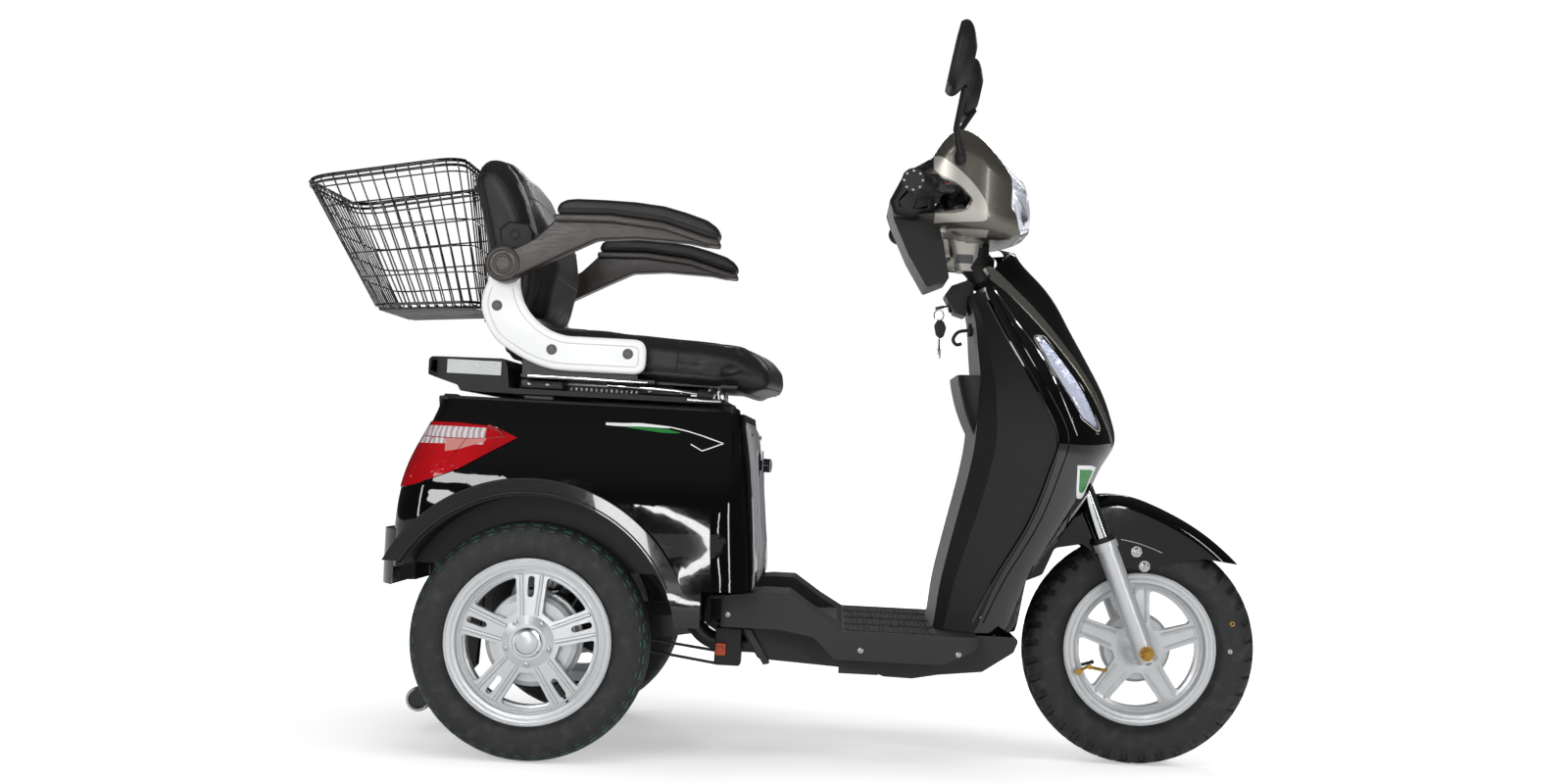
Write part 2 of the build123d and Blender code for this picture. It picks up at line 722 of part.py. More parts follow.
def seat_parts():
    r = XR
    cushion = slab(rounded(side_points([
        (-100, 700), (-96, 718), (10, 738), (165, 731), (270, 726), (344, 720), (392, 702), (407, 672),
        (400, 643), (388, 640), (330, pan_high + 0.3), (-52, pan_high + 0.3), (-62, 689), (-96, 689),
    ]), 6), -cushion_half_width, cushion_half_width)
    bolster_view = rounded(side_points([
        (-158, 1010), (-150, 1032), (-134, 1042), (-108, 1036), (-86, 1008), (-66, 958), (-48, 900),
        (-50, 820), (-56, 752), (-100, 760), (-128, 880),
    ]), 8)
    centre_view = rounded(side_points([
        (-150, 1000), (-130, 1046), (-108, 1044), (-80, 1008), (-57, 968), (-36, 925), (-12, 886), (-15, 846),
        (-31, 799), (-34, 750), (-90, 752), (-122, 880),
    ]), 8)
    back = slab(bolster_view, -backrest_half_width, backrest_half_width) + slab(centre_view, -145, 145)
    bracket_outline = rounded(side_points([
        (-120, 800), (-127, 762), (-97, 712), (-30, 674), (2, 664), (148, 664), (164, 676), (164, 716),
        (146, 726), (22, 726), (-30, 752), (-60, 800), (-62, 836), (-118, 836),
    ]), 10)
    inner_y = cushion_half_width + bracket_gap
    bracket = slab(bracket_outline, inner_y, inner_y + bracket_thickness)
    boss = cross_bar(arm_x, arm_z, 27, inner_y, inner_y + bracket_thickness)
    pivot = cross_bar(arm_x, arm_z, 8, inner_y, inner_y + bracket_thickness + 30)
    bracket = bracket + boss + pivot
    pan = block(r - 52, r + 322, -inner_y, inner_y, pan_low, pan_high)
    pan -= block(r + 180, r + 340, -300, -190, 600, 700)
    pan -= block(r + 180, r + 340, 190, 300, 600, 700)
    runner = block(r - 70, r + 200, 102.4, 127.6, lid_top + 3.3, pan_low)
    flange = block(r - 50, r + 150, cushion_half_width + 0.3, inner_y - 0.3, pan_high, 720)
    flange += block(r - 50, r + 150, cushion_half_width - 10, inner_y - 0.3, pan_low, pan_high)
    pan = pan + runner + mirrored(runner) + flange + mirrored(flange)
    back_plate = slab(rounded(side_points([
        (-118, 742), (-100.6, 742), (-100.4, 760), (-128.4, 880), (-158.4, 1010), (-165, 1010), (-136, 882),
        (-118, 760),
    ]), 2), -150, 150)
    hooks = block(r - 190, r - 158, 70, 90, 985, 998) + block(r - 165, r - 112, 70, 90, 775, 790)
    hooks -= basket_form(-0.3)
    pan = pan + back_plate + hooks + mirrored(hooks)
    cross = slab(rounded(side_points([(-120, 742), (-102, 742), (-102, 757), (-120, 757)]), 2), -inner_y, inner_y)
    pan += cross
    return {
        "seat_cushion": cushion,
        "backrest": back,
        "seat_brackets": both_sides(bracket),
        "seat_frame": pan,
        "basket": basket(),
    }


def chamfered(length, width, corner):
    """Rectangle on the XY plane with cut corners."""
    a, b = length / 2, width / 2
    c = corner * 0.6
    quarter = [(a, b - corner), (a - c / 3, b - c), (a - c, b - c / 3), (a - corner, b)]
    mirror_x = [(-x, y) for x, y in reversed(quarter)]
    half = quarter + mirror_x
    return make_face(Polyline(*half, *[(-x, -y) for x, y in half], close=True))


def basket_form(t):
    """Tapered basket leaning back with the seat; t is the wall taken off."""
    low_half = basket_half_width - 38
    base = Pos(XR - 246, 0, 770 + t) * Rot(0, -4.5, 0) * chamfered(188 - 2 * t, 2 * (low_half - t), 30 - t)
    rim_length = 286
    rim_lean = 10.5
    rim_reach = rim_length / 2 * math.cos(math.radians(rim_lean))
    rim = Pos(XR - basket_overhang + rim_reach, 0, 1010) * Rot(0, -rim_lean, 0)
    rim_face = rim * chamfered(rim_length - 2 * t, 2 * (basket_half_width - t), 45 - t)
    return loft([base, rim_face], ruled=True)


def basket():
    """Basket envelope: a thin wall as high and as tapered as the wire cage."""
    return basket_form(0) - basket_form(basket_wire)


def arm_parts():
    """Left flip-up armrest: plastic arm with a round hub, and its pad."""
    pad_bottom = [(10, 926), (98, 929), (188, 921), (268, 897)]
    pad_view = rounded(side_points(
        pad_bottom + [(282, 897), (284, 913), (262, 930), (189, 951), (88, 956), (22, 953), (9, 943)]
    ), 7)
    arm_view = rounded(side_points(
        [(-104, 822), (-62, 815), (30, 869), (74, 891), (142, 896), (232, 892), (262, 887)]
        + [(x, z - 0.3) for x, z in reversed(pad_bottom)] + [(0, 908), (-30, 880), (-100, 858)]
    ), 5)
    inner_y = cushion_half_width + bracket_gap + bracket_thickness + arm_clearance
    arm = slab(arm_view, inner_y + 4, inner_y + 38)
    arm += cross_bar(arm_x, arm_z, 31, inner_y, inner_y + 40)
    arm -= cross_bar(arm_x, arm_z, 8.4, 0, inner_y + 33)
    pad = slab(pad_view, inner_y - 8, inner_y + 52)
    return arm, pad


# ---------------------------------------------------------------- steering
def at_axis(along, back=0.0):
    """Plane square to the steering axis, its x to the left, that far up the axis."""
    x, z = steer(along, back)
    return Plane(origin=(x, 0, z), x_dir=(0, 1, 0), z_dir=(UP[0], 0, UP[1]))


def build_fork():
    half = fork_leg_spacing / 2
    fork = None
    for side in (-1, 1):
        leg_plane = Plane(origin=(XF, side * half, ZF), x_dir=(0, 1, 0), z_dir=(UP[0], 0, UP[1]))
        slider = extrude(leg_plane.offset(-18) * Circle(fork_slider_radius), amount=228)
        slider += extrude(leg_plane.offset(200) * Circle(fork_slider_radius + 3), amount=14)
        stanchion = extrude(leg_plane.offset(200) * Circle(fork_tube_radius), amount=clamp_level + 26 - 200)
        leg = slider + stanchion
        fork = leg if fork is None else fork + leg
    fork += cross_bar(XF, ZF, axle_radius, -half - 24, half + 24)
    clamp = extrude(at_axis(clamp_level, -fork_offset / 2) * RectangleRounded(half * 2 + 44, 74, 18), amount=22)
    stem = extrude(at_axis(clamp_level) * Circle(stem_radius), amount=bar_level - clamp_level)
    return fork + clamp + stem


def build_handlebar():
    points = [
        (bar_x - 90, -345, bar_z - 24),
        (bar_x - 62, -200, bar_z - 8),
        (bar_x - 6, -110, bar_z + 4),
        (bar_x - 6, 110, bar_z + 4),
        (bar_x - 62, 200, bar_z - 8),
        (bar_x - 90, 345, bar_z - 24),
    ]
    bar = tube(points, 11, 45)
    clamp = extrude(at_axis(bar_level + 0.2) * RectangleRounded(60, 44, 10), amount=26)
    bar += clamp
    left_end = Vector(*points[5])
    left_knee = Vector(*points[4])
    run = (left_end - left_knee).normalized()
    grip_plane = Plane(origin=left_end + run * 2, z_dir=-run)
    grip = extrude(grip_plane * Circle(16.5), amount=118)
    grip += extrude(grip_plane * Circle(19), amount=6)
    grip += extrude(grip_plane.offset(112) * Circle(20), amount=6)
    grip -= extrude(grip_plane.offset(2) * Circle(11.2), amount=200)
    perch_plane = grip_plane.offset(121)
    perch = extrude(perch_plane * Circle(19), amount=24)
    start = left_end - run * 134
    lever = tube([
        (start.X + 26, start.Y, start.Z - 6),
        (start.X + 46, start.Y + 30, start.Z - 10),
        (start.X + 22, start.Y + 138, start.Z - 26),
    ], 6, 18)
    arm = rod((start.X + 12, start.Y, start.Z - 2), (start.X + 30, start.Y, start.Z - 7), 8)
    perch = perch + arm + lever
    perch -= extrude(perch_plane.offset(-1) * Circle(11.2), amount=26)
    return {"handlebar": bar, "grips": both_sides(grip), "brake_levers": both_sides(perch)}


def cowl_form(t):
    """Head cowl, lofted from back to front through upright sections."""
    stations = [
        (-486, 1003, 1060, 100, 22),
        (-433, 972, 1092, 140, 36),
        (-380, 954, 1142, 150, 50),
        (-323, 948, 1108, 138, 46),
        (-280, 954, 1072, 112, 36),
        (-249, 968, 1010, 74, 18),
    ]
    faces = []
    for x, low, high, half, corner in stations:
        plane = Plane(origin=(XF + x, 0, (low + high) / 2), x_dir=(0, 1, 0), z_dir=(1, 0, 0))
        faces.append(plane * RectangleRounded(half * 2 - 2 * t, high - low - 2 * t, corner - t))
    return loft(faces)


def build_head():
    x = XF
    cowl = cowl_form(0) - cowl_form(skin)
    lens_view = rounded([
        (x - 354, 1200), (x - 354, 1092), (x - 343, 1074), (x - 322, 1046), (x - 279, 995), (x - 266, 960),
        (x - 150, 900), (x - 150, 1200),
    ], 4)
    lens_room = slab(lens_view, -118, 118)
    lens = (cowl_form(-1) - cowl_form(skin + 3)) & slab(offset(lens_view, -0.3), -117.7, 117.7)
    cowl -= lens_room
    bar_opening = slab(rounded([
        (x - 560, 1064), (x - 422, 1050), (x - 386, 1034), (x - 362, 1012), (x - 372, 994), (x - 426, 985),
        (x - 560, 985),
    ], 6), -200, 200)
    cowl -= bar_opening
    dash_view = rounded([
        (x - 506, 1009), (x - 496, 977), (x - 466, 915), (x - 430, 858), (x - 390, 876), (x - 405, 947),
        (x - 422, 984),
    ], 5)
    dash = slab(dash_view, -76, 76)
    neck_top = Pos(x - 361, 0, 962) * RectangleRounded(80, 90, 20)
    neck_mid = Pos(x - 360, 0, 930) * RectangleRounded(58, 68, 18)
    neck_low = Pos(x - 354, 0, 897) * RectangleRounded(42, 52, 14)
    neck = loft([neck_low, neck_mid, neck_top])
    stem_room = extrude(at_axis(clamp_level) * Circle(stem_radius + 0.3), amount=bar_level - clamp_level + 20)
    cowl = cowl + (neck - cowl_form(skin))
    cowl = cowl - stem_room - dash - block(x - 500, x - 480, -200, 200, 900, 1200)
    dash -= stem_room
    return {"head_cowl": cowl, "dash_panel": dash, "headlight_lens": lens}


def mirror_head(side, turn):
    """Mirror on its stalk, its glass to the rear; turn raises the left one."""
    head_x = XF - 396 + turn * 52
    head_z = 1236 + turn * 58
    foot = (XF - 386, side * 154, 1082)
    bend = (XF - 398, side * 178, 1128 + turn * 20)
    top = (head_x + 6, side * 232, head_z - 44)
    stalk = tube([foot, bend, top], 5.5, 20)
    stalk += rod((XF - 386, side * 148, 1074), (XF - 388, side * 160, 1094), 8)
    glass = Plane(origin=(head_x - 16, side * 255, head_z), x_dir=(0, 1, 0), z_dir=(1, 0, -0.17))
    sections = [
        glass * RectangleRounded(132, 116, 44),
        glass.offset(9) * RectangleRounded(136, 122, 46),
        glass.offset(24) * RectangleRounded(112, 94, 38),
        glass.offset(34) * RectangleRounded(60, 50, 20),
    ]
    return loft(sections) + (stalk - cowl_form(-0.3))


def guard_form(inset):
    """Crowned hood over the front tyre, its sides cut to the mudguard's lower edge."""
    half = guard_half - inset
    ridge = Spline(*[(XF + x, ZF + z - inset) for x, z in [
        (174, 164), (102, 222), (22, 263), (-60, 284), (-130, 268), (-196, 216), (-236, 118),
    ]])
    keel = (XF - 100, ZF + 60)
    view = make_face(ridge + Line(ridge @ 1, keel) + Line(keel, ridge @ 0))
    hood = slab(view, -half, half)
    crown = hood.faces().sort_by(Axis.Z)[-1]
    sides = crown.edges().filter_by(lambda edge: abs(edge.center().Y) > half - 1)
    return fillet([edge for edge in hood.edges() if edge in sides], 24 - inset)


def leg_point(along, ahead):
    """Point in the side view beside the fork leg: up the leg, and ahead of its centre."""
    return (XF + UP[0] * along - BACK[0] * ahead, ZF + UP[1] * along - BACK[1] * ahead)


def mudguard():
    """Front mudguard that turns with the fork, with a stay to each slider."""
    low_edge = rounded([
        (XF + 220, ZF + 160), (XF + 105, ZF + 174), (XF + 60, ZF + 166), (XF + 10, ZF + 150),
        (XF - 60, ZF + 150), (XF - 120, ZF + 190), (XF - 170, ZF + 180), (XF - 190, ZF + 130),
        (XF - 260, ZF + 100), (XF - 260, ZF - 50), (XF + 220, ZF - 50),
    ], 12)
    guard = guard_form(0) - guard_form(guard_thickness) - slab(low_edge, -100, 100)
    stay_inner = tyre_clear_half
    slider_face = fork_leg_spacing / 2 - fork_slider_radius
    lug = rounded([leg_point(158, -15), leg_point(158, 15), leg_point(197, 15), leg_point(197, -15)], 5)
    plate = rounded([leg_point(158, -15), leg_point(158, 90), leg_point(188, 90), leg_point(232, 20), leg_point(232, -15)], 8)
    stay = slab(lug, stay_inner, slider_face - 0.3) + slab(plate, stay_inner, guard_half)
    return guard + stay + mirrored(stay)


# ---------------------------------------------------------------- assembly
def write(name, shape):
    export_step(shape, f"parts/{name}.step")


def build_all():
    nodes = {}
    nodes.update(build_wheels())
    nodes.update(build_body())
    nodes.update(build_floor())
    nodes.update(build_front())
    nodes.update(lid_parts())
    nodes.update(seat_parts())
    nodes.update(build_handlebar())
    nodes.update(build_head())
    nodes["main_frame"] = build_frame() + hinge_base()
    nodes["battery_block"] = block(XR + 20, XR + 256, -118, 118, rear_rail_height + rail_radius - 1.7, 560)
    nodes["motor_axle"] = build_axle()
    nodes["rear_shocks"] = both_sides(rear_shock())
    nodes["anti_tip_brackets"] = both_sides(anti_tip_bracket())
    nodes["anti_tip_wheel_left"] = tip_wheel()
    nodes["anti_tip_wheel_right"] = mirrored(tip_wheel())
    nodes["fork"] = build_fork()
    nodes["front_mudguard"] = mudguard()
    nodes["mirrors"] = Compound(children=[mirror_head(1, 1), mirror_head(-1, 0)])
    arm, pad = arm_parts()
    nodes["armrest_left"] = arm
    nodes["armrest_right"] = mirrored(arm)
    nodes["arm_pad_left"] = pad
    nodes["arm_pad_right"] = mirrored(pad)
    return nodes


os.makedirs("parts", exist_ok=True)
for node_name, node_shape in build_all().items():
    write(node_name, node_shape)
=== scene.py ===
import math

import bpy
from bpy.props import FloatProperty, FloatVectorProperty, PointerProperty
from mathutils import Matrix, Vector
from mathutils.bvhtree import BVHTree


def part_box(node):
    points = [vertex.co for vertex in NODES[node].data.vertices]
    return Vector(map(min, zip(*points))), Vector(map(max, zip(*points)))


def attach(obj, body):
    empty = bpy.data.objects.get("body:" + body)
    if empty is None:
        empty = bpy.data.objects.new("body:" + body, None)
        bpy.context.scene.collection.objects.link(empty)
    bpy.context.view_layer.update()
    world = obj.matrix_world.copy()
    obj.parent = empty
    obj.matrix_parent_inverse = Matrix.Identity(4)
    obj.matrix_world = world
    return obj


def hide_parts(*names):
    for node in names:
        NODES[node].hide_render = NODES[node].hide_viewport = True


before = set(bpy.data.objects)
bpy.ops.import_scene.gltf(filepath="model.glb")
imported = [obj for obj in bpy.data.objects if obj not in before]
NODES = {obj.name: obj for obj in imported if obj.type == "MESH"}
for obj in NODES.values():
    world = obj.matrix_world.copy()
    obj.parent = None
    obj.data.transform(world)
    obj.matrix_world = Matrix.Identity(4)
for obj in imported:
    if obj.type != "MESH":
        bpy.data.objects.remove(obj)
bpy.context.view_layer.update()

bl_info = {
    "name": "Electric three-wheel scooter",
    "version": (1, 0, 0),
    "blender": (4, 5, 0),
    "location": "View3D > Sidebar > Scooter",
    "description": "Finishes, tyres, basket, upholstery, trims, small fittings and stage of the scooter",
    "category": "Object",
}

# Lengths in this file are millimetres in the row frame, unless a name says otherwise.
MM = 0.001


def middle(node):
    """Middle of a CAD node's box in millimetres."""
    low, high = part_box(node)
    return [(a + b) / 2 / MM for a, b in zip(low, high)]


XR, REAR_Y, ZR = middle("rear_tyre_left")     # rear axle and half the track
XF, _, ZF = middle("front_tyre")              # front axle
RAKE = math.radians(23)
UP = (-math.sin(RAKE), math.cos(RAKE))        # along the steering axis, in the side view
AHEAD = (math.cos(RAKE), math.sin(RAKE))      # square to it
COLUMN_BACK = 35                              # from the fork's legs back to the steering axis
REAR_RADIUS, FRONT_RADIUS = 203, 215          # of the tyres
RIM_FLANGE = 142.5                            # where a tyre's wall leaves the rim
RIM_BEADS = ((138.5, 1.8), (130, 1.4), (116.5, 2.0))    # reach and radius of a rim's beads
SPOKES, SPOKE_TURN = 5, 72
SIDES = ((1, "left"), (-1, "right"))          # +Y is the vehicle's left


def linear(code):
    """Linear colour of an sRGB hex code."""
    parts = [int(code[i:i + 2], 16) / 255 for i in (1, 3, 5)]
    return tuple(c / 12.92 if c <= 0.04045 else ((c + 0.055) / 1.055) ** 2.4 for c in parts) + (1.0,)


def rear(points):
    """Side-view points given from the rear axle."""
    return [(XR + x, z) for x, z in points]


def front(points):
    """Side-view points given from the front axle's x."""
    return [(XF + x, z) for x, z in points]


def column(along):
    """Side-view point that far up the steering axis."""
    return XF - AHEAD[0] * COLUMN_BACK + UP[0] * along, ZF - AHEAD[1] * COLUMN_BACK + UP[1] * along


def polar(centre, reach, degrees):
    """Side-view point at a distance and an angle from a centre."""
    t = math.radians(degrees)
    return centre[0] + reach * math.cos(t), centre[1] + reach * math.sin(t)


# ------------------------ shapes
def spline(points, count, closed=False):
    """Smooth line through points, as count evenly spaced points."""
    pts = [Vector(p) for p in points]
    n = len(pts)
    spans = n if closed else n - 1
    fine = []
    for i in range(spans):
        if closed:
            a, b, c, d = (pts[(i + k) % n] for k in (-1, 0, 1, 2))
        else:
            a, b, c, d = (pts[min(max(i + k, 0), n - 1)] for k in (-1, 0, 1, 2))
        for s in range(24):
            t = s / 24
            fine.append(0.5 * (2 * b + (c - a) * t + (2 * a - 5 * b + 4 * c - d) * t * t
                               + (3 * b - a - 3 * c + d) * t ** 3))
    fine.append(fine[0].copy() if closed else pts[-1])
    return even(fine, count, closed)


def even(line, count, closed=False):
    """The same line as count evenly spaced points; a closed one repeats its first point."""
    line = [Vector(p) for p in line]
    reach = [0.0]
    for a, b in zip(line, line[1:]):
        reach.append(reach[-1] + (b - a).length)
    steps = count if closed else count - 1
    out = []
    j = 0
    for k in range(count):
        want = reach[-1] * k / steps
        while j < len(reach) - 2 and reach[j + 1] < want:
            j += 1
        span = reach[j + 1] - reach[j]
        out.append(line[j].lerp(line[j + 1], (want - reach[j]) / span if span else 0.0))
    return out


def rounded(points, radius, steps=5):
    """Closed outline with each corner rounded by up to radius."""
    pts = [Vector(p) for p in points]
    out = []
    for i, p in enumerate(pts):
        a = pts[i - 1] - p
        b = pts[(i + 1) % len(pts)] - p
        turn = math.pi - a.angle(b)
        reach = min(radius * math.tan(turn / 2), a.length * 0.49, b.length * 0.49)
        start = p + a.normalized() * reach
        end = p + b.normalized() * reach
        for s in range(steps + 1):
            t = s / steps
            out.append(start * (1 - t) ** 2 + p * 2 * t * (1 - t) + end * t * t)
    return out


def closed_line(outline, count):
    """Closed outline as count evenly spaced points."""
    return even(outline + outline[:1], count, closed=True)


def inset(outline, distance):
    """Closed 2-D outline moved inwards, whichever way round it runs."""
    pts = [Vector(p) for p in outline]
    area = sum(a.x * b.y - b.x * a.y for a, b in zip(pts, pts[1:] + pts[:1]))
    sign = 1 if area > 0 else -1
    out = []
    for i, p in enumerate(pts):
        run = pts[(i + 1) % len(pts)] - pts[i - 1]
        run = run.normalized() if run.length > 1e-9 else Vector((1, 0))
        out.append(p + Vector((-run.y, run.x)) * sign * distance)
    return out


def skinned(rings, closed_ring=True, caps=True, loop=False):
    """(vertices, faces) of a skin over rings of equal length."""
    n = len(rings[0])
    verts = [tuple(p) for ring in rings for p in ring]
    faces = []
    rows = len(rings) if loop else len(rings) - 1
    cols = n if closed_ring else n - 1
    for i in range(rows):
        a, b = i * n, ((i + 1) % len(rings)) * n
        for j in range(cols):
            k = (j + 1) % n
            faces.append((a + j, a + k, b + k, b + j))
    if caps and closed_ring and not loop:
        faces.append(tuple(reversed(range(n))))
        last = (len(rings) - 1) * n
        faces.append(tuple(range(last, last + n)))
    return verts, faces


def lathe(profile, centre, axis=(0, 1, 0), sides=48, caps=True):
    """Skin turned about axis through centre, from (along, radius) points."""
    axis = Vector(axis).normalized()
    side = axis.orthogonal().normalized()
    up = axis.cross(side)
    rings = []
    for along, radius in profile:
        rings.append([
            Vector(centre) + axis * along
            + (side * math.cos(t) + up * math.sin(t)) * max(radius, 0.01)
            for t in (2 * math.pi * k / sides for k in range(sides))
        ])
    return skinned(rings, caps=caps)


def pipe(points, radius, sides=10, loop=False):
    """Round bar along a line; radius may be a list with one value for each point."""
    pts = [Vector(p) for p in points]
    n = len(pts)
    normal = None
    rings = []
    for i, p in enumerate(pts):
        if loop:
            run = (pts[(i + 1) % n] - pts[i - 1]).normalized()
        else:
            run = (pts[min(i + 1, n - 1)] - pts[max(i - 1, 0)]).normalized()
        if normal is None:
            normal = run.orthogonal().normalized()
        normal = (normal - run * normal.dot(run)).normalized()
        other = run.cross(normal)
        r = radius[i] if isinstance(radius, list) else radius
        rings.append([
            p + (normal * math.cos(t) + other * math.sin(t)) * r
            for t in (2 * math.pi * k / sides for k in range(sides))
        ])
    if loop:
        # the frame has turned on its way round, so the seam is joined with the nearest start
        last = rings[-1]
        shift = min(range(sides), key=lambda s: (last[0] - rings[0][s]).length)
        verts, faces = skinned(rings, caps=False)
        base = (n - 1) * sides
        for j in range(sides):
            k = (j + 1) % sides
            faces.append((base + j, base + k, (k + shift) % sides, (j + shift) % sides))
        return verts, faces
    return skinned(rings)


def puffed(outline, y0, y1, radius, steps=5, sections=2, warp=None):
    """Side-view outline given thickness between y0 and y1, its two edges rounded by radius."""
    rings = []
    stations = [(y0 + radius * (1 - math.cos(a)), radius * (1 - math.sin(a)))
                for a in (math.pi / 2 * s / steps for s in range(steps + 1))]
    for s in range(1, sections):
        stations.append((y0 + radius + (y1 - y0 - 2 * radius) * s / sections, 0.0))
    stations += [(y1 - radius * (1 - math.cos(a)), radius * (1 - math.sin(a)))
                 for a in (math.pi / 2 * s / steps for s in range(steps, -1, -1))]
    for y, d in stations:
        ring = [Vector((p.x, y, p.y)) for p in inset(outline, d)]
        rings.append([warp(p) for p in ring] if warp else ring)
    return skinned(rings)


def joined(*shapes):
    """Several (vertices, faces) as one."""
    verts, faces = [], []
    for v, f in shapes:
        base = len(verts)
        verts += [tuple(p) for p in v]
        faces += [tuple(i + base for i in face) for face in f]
    return verts, faces


def flipped(shape):
    """The shape on the vehicle's other side."""
    verts, faces = shape
    return [(x, -y, z) for x, y, z in (tuple(v) for v in verts)], [tuple(reversed(f)) for f in faces]


def sided(shape, side):
    """The shape as drawn for the left (1), or its mirror image for the right (-1)."""
    return shape if side > 0 else flipped(shape)


def paired(shape):
    """The shape on both sides of the vehicle."""
    return joined(shape, flipped(shape))


def moved(shape, place):
    """The shape put through a 4x4 matrix whose translation is in millimetres."""
    verts, faces = shape
    return [tuple(place @ Vector(v)) for v in verts], faces


def brick(low, high, bevel=1.0):
    """Box between two corners with its edges broken."""
    (x0, y0, z0), (x1, y1, z1) = low, high
    outline = rounded([(x0, z0), (x1, z0), (x1, z1), (x0, z1)], bevel * 1.6, 3)
    return puffed(outline, y0, y1, bevel, steps=3)


_trees = {}


def tree_of(name):
    """Search tree over the faces of a CAD node or a piece, in metres."""
    if name not in _trees:
        mesh = (NODES[name] if name in NODES else bpy.data.objects[name]).data
        _trees[name] = BVHTree.FromPolygons(
            [v.co for v in mesh.vertices], [tuple(p.vertices) for p in mesh.polygons])
    return _trees[name]


def cast(name, start, way):
    """Point in millimetres and normal where a line meets a CAD node or a piece, or None."""
    hit, normal, _, _ = tree_of(name).ray_cast(Vector(start) * MM, Vector(way).normalized())
    if hit is None:
        return None
    return hit / MM, -normal if normal.dot(Vector(way)) > 0 else normal


def landed(node, x, z, side):
    """The same for a level line from one side: 1 is the left, -1 the right."""
    return cast(node, (x, side * 600, z), (0, -side, 0))


def patch(node, edge_a, edge_b, side, lift=0.3, across=6, along=40, smooth=True, sunk=1.2):
    """Thin strip lying on a CAD node between two side-view edges, with its rim turned down."""
    line = spline if smooth else even
    a = line(edge_a, along)
    b = line(edge_b, along)
    rows = []
    for p, q in zip(a, b):
        row = []
        for k in range(across + 1):
            m = p.lerp(q, k / across)
            row.append((m.x, m.y, landed(node, m.x, m.y, side)))
        rows.append(row)
    known = [spot for row in rows for spot in row if spot[2]]
    grid, normals = [], []
    for row in rows:
        line_points, line_normals = [], []
        for x, z, hit in row:
            if hit is None:
                near = min(known, key=lambda s: (s[0] - x) ** 2 + (s[1] - z) ** 2)
                point, normal = Vector((x, near[2][0].y, z)), near[2][1]
            else:
                point, normal = hit
            line_points.append(point)
            line_normals.append(normal)
        grid.append(line_points)
        normals.append(line_normals)
    top = [[p + n * lift for p, n in zip(g, ns)] for g, ns in zip(grid, normals)]
    low = [[p - n * sunk for p, n in zip(g, ns)] for g, ns in zip(grid, normals)]
    full = []
    for t, l in zip(top, low):
        full.append([l[0]] + t + [l[-1]])
    full = [low[0][:1] + low[0] + low[0][-1:]] + full + [low[-1][:1] + low[-1] + low[-1][-1:]]
    verts, faces = skinned(full, closed_ring=False)
    if side > 0:
        faces = [tuple(reversed(f)) for f in faces]
    return verts, faces


def patches(node, edge_a, edge_b, **settings):
    """The same strip on both sides of a CAD node."""
    return joined(*[patch(node, edge_a, edge_b, side, **settings) for side in (1, -1)])


def filled(node, outline, lift, step=2.0, sunk=0.5):
    """Thin sheet of any outline lying on both sides of a CAD node."""
    xs = [p[0] for p in outline]
    left, right = min(xs), max(xs)
    count = max(4, int((right - left) / step))
    edge_a, edge_b = [], []
    pts = [Vector(p) for p in outline]
    for k in range(count + 1):
        # the first and last cuts stand a little inside the outline's tips
        nudge = 0.02 if k == 0 else -0.02 if k == count else 0
        x = left + (right - left) * (k + nudge) / count
        zs = []
        for p, q in zip(pts, pts[1:] + pts[:1]):
            if (p.x - x) * (q.x - x) <= 0 and abs(q.x - p.x) > 1e-9:
                zs.append(p.y + (q.y - p.y) * (x - p.x) / (q.x - p.x))
        if len(zs) >= 2:
            edge_a.append((x, max(zs)))
            edge_b.append((x, min(zs)))
    return patches(node, edge_a, edge_b, lift=lift, across=8, along=len(edge_a), smooth=False, sunk=sunk)


def line_on(node, points, side, radius, lift=0.0, count=60, sides=8, behind=0.0):
    """Round bead over a CAD node, below a side-view line or that far behind it."""
    spots = []
    for p in spline(points, count):
        hit = landed(node, p.x - behind, p.y, side)
        if hit:
            spots.append(hit[0] + hit[1] * lift)
    return pipe(spots, radius, sides)


def lines_on(node, points, *settings):
    """The same bead on both sides of a CAD node."""
    return joined(*[line_on(node, points, side, *settings) for side in (1, -1)])


def piece(name, shape, material, body, stands_for=(), smooth_angle=40):
    """Puts a shape into the scene as a piece that rides on a body."""
    verts, faces = shape
    mesh = bpy.data.meshes.new(name)
    mesh.from_pydata([tuple(c * MM for c in v) for v in verts], [], faces)
    mesh.validate()
    mesh.materials.append(bpy.data.materials[material])
    mesh.shade_smooth()
    if smooth_angle < 180:
        mesh.set_sharp_from_angle(angle=math.radians(smooth_angle))
    obj = bpy.data.objects.new(name, mesh)
    bpy.context.scene.collection.objects.link(obj)
    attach(obj, body)
    if stands_for:
        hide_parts(*stands_for)
    return obj


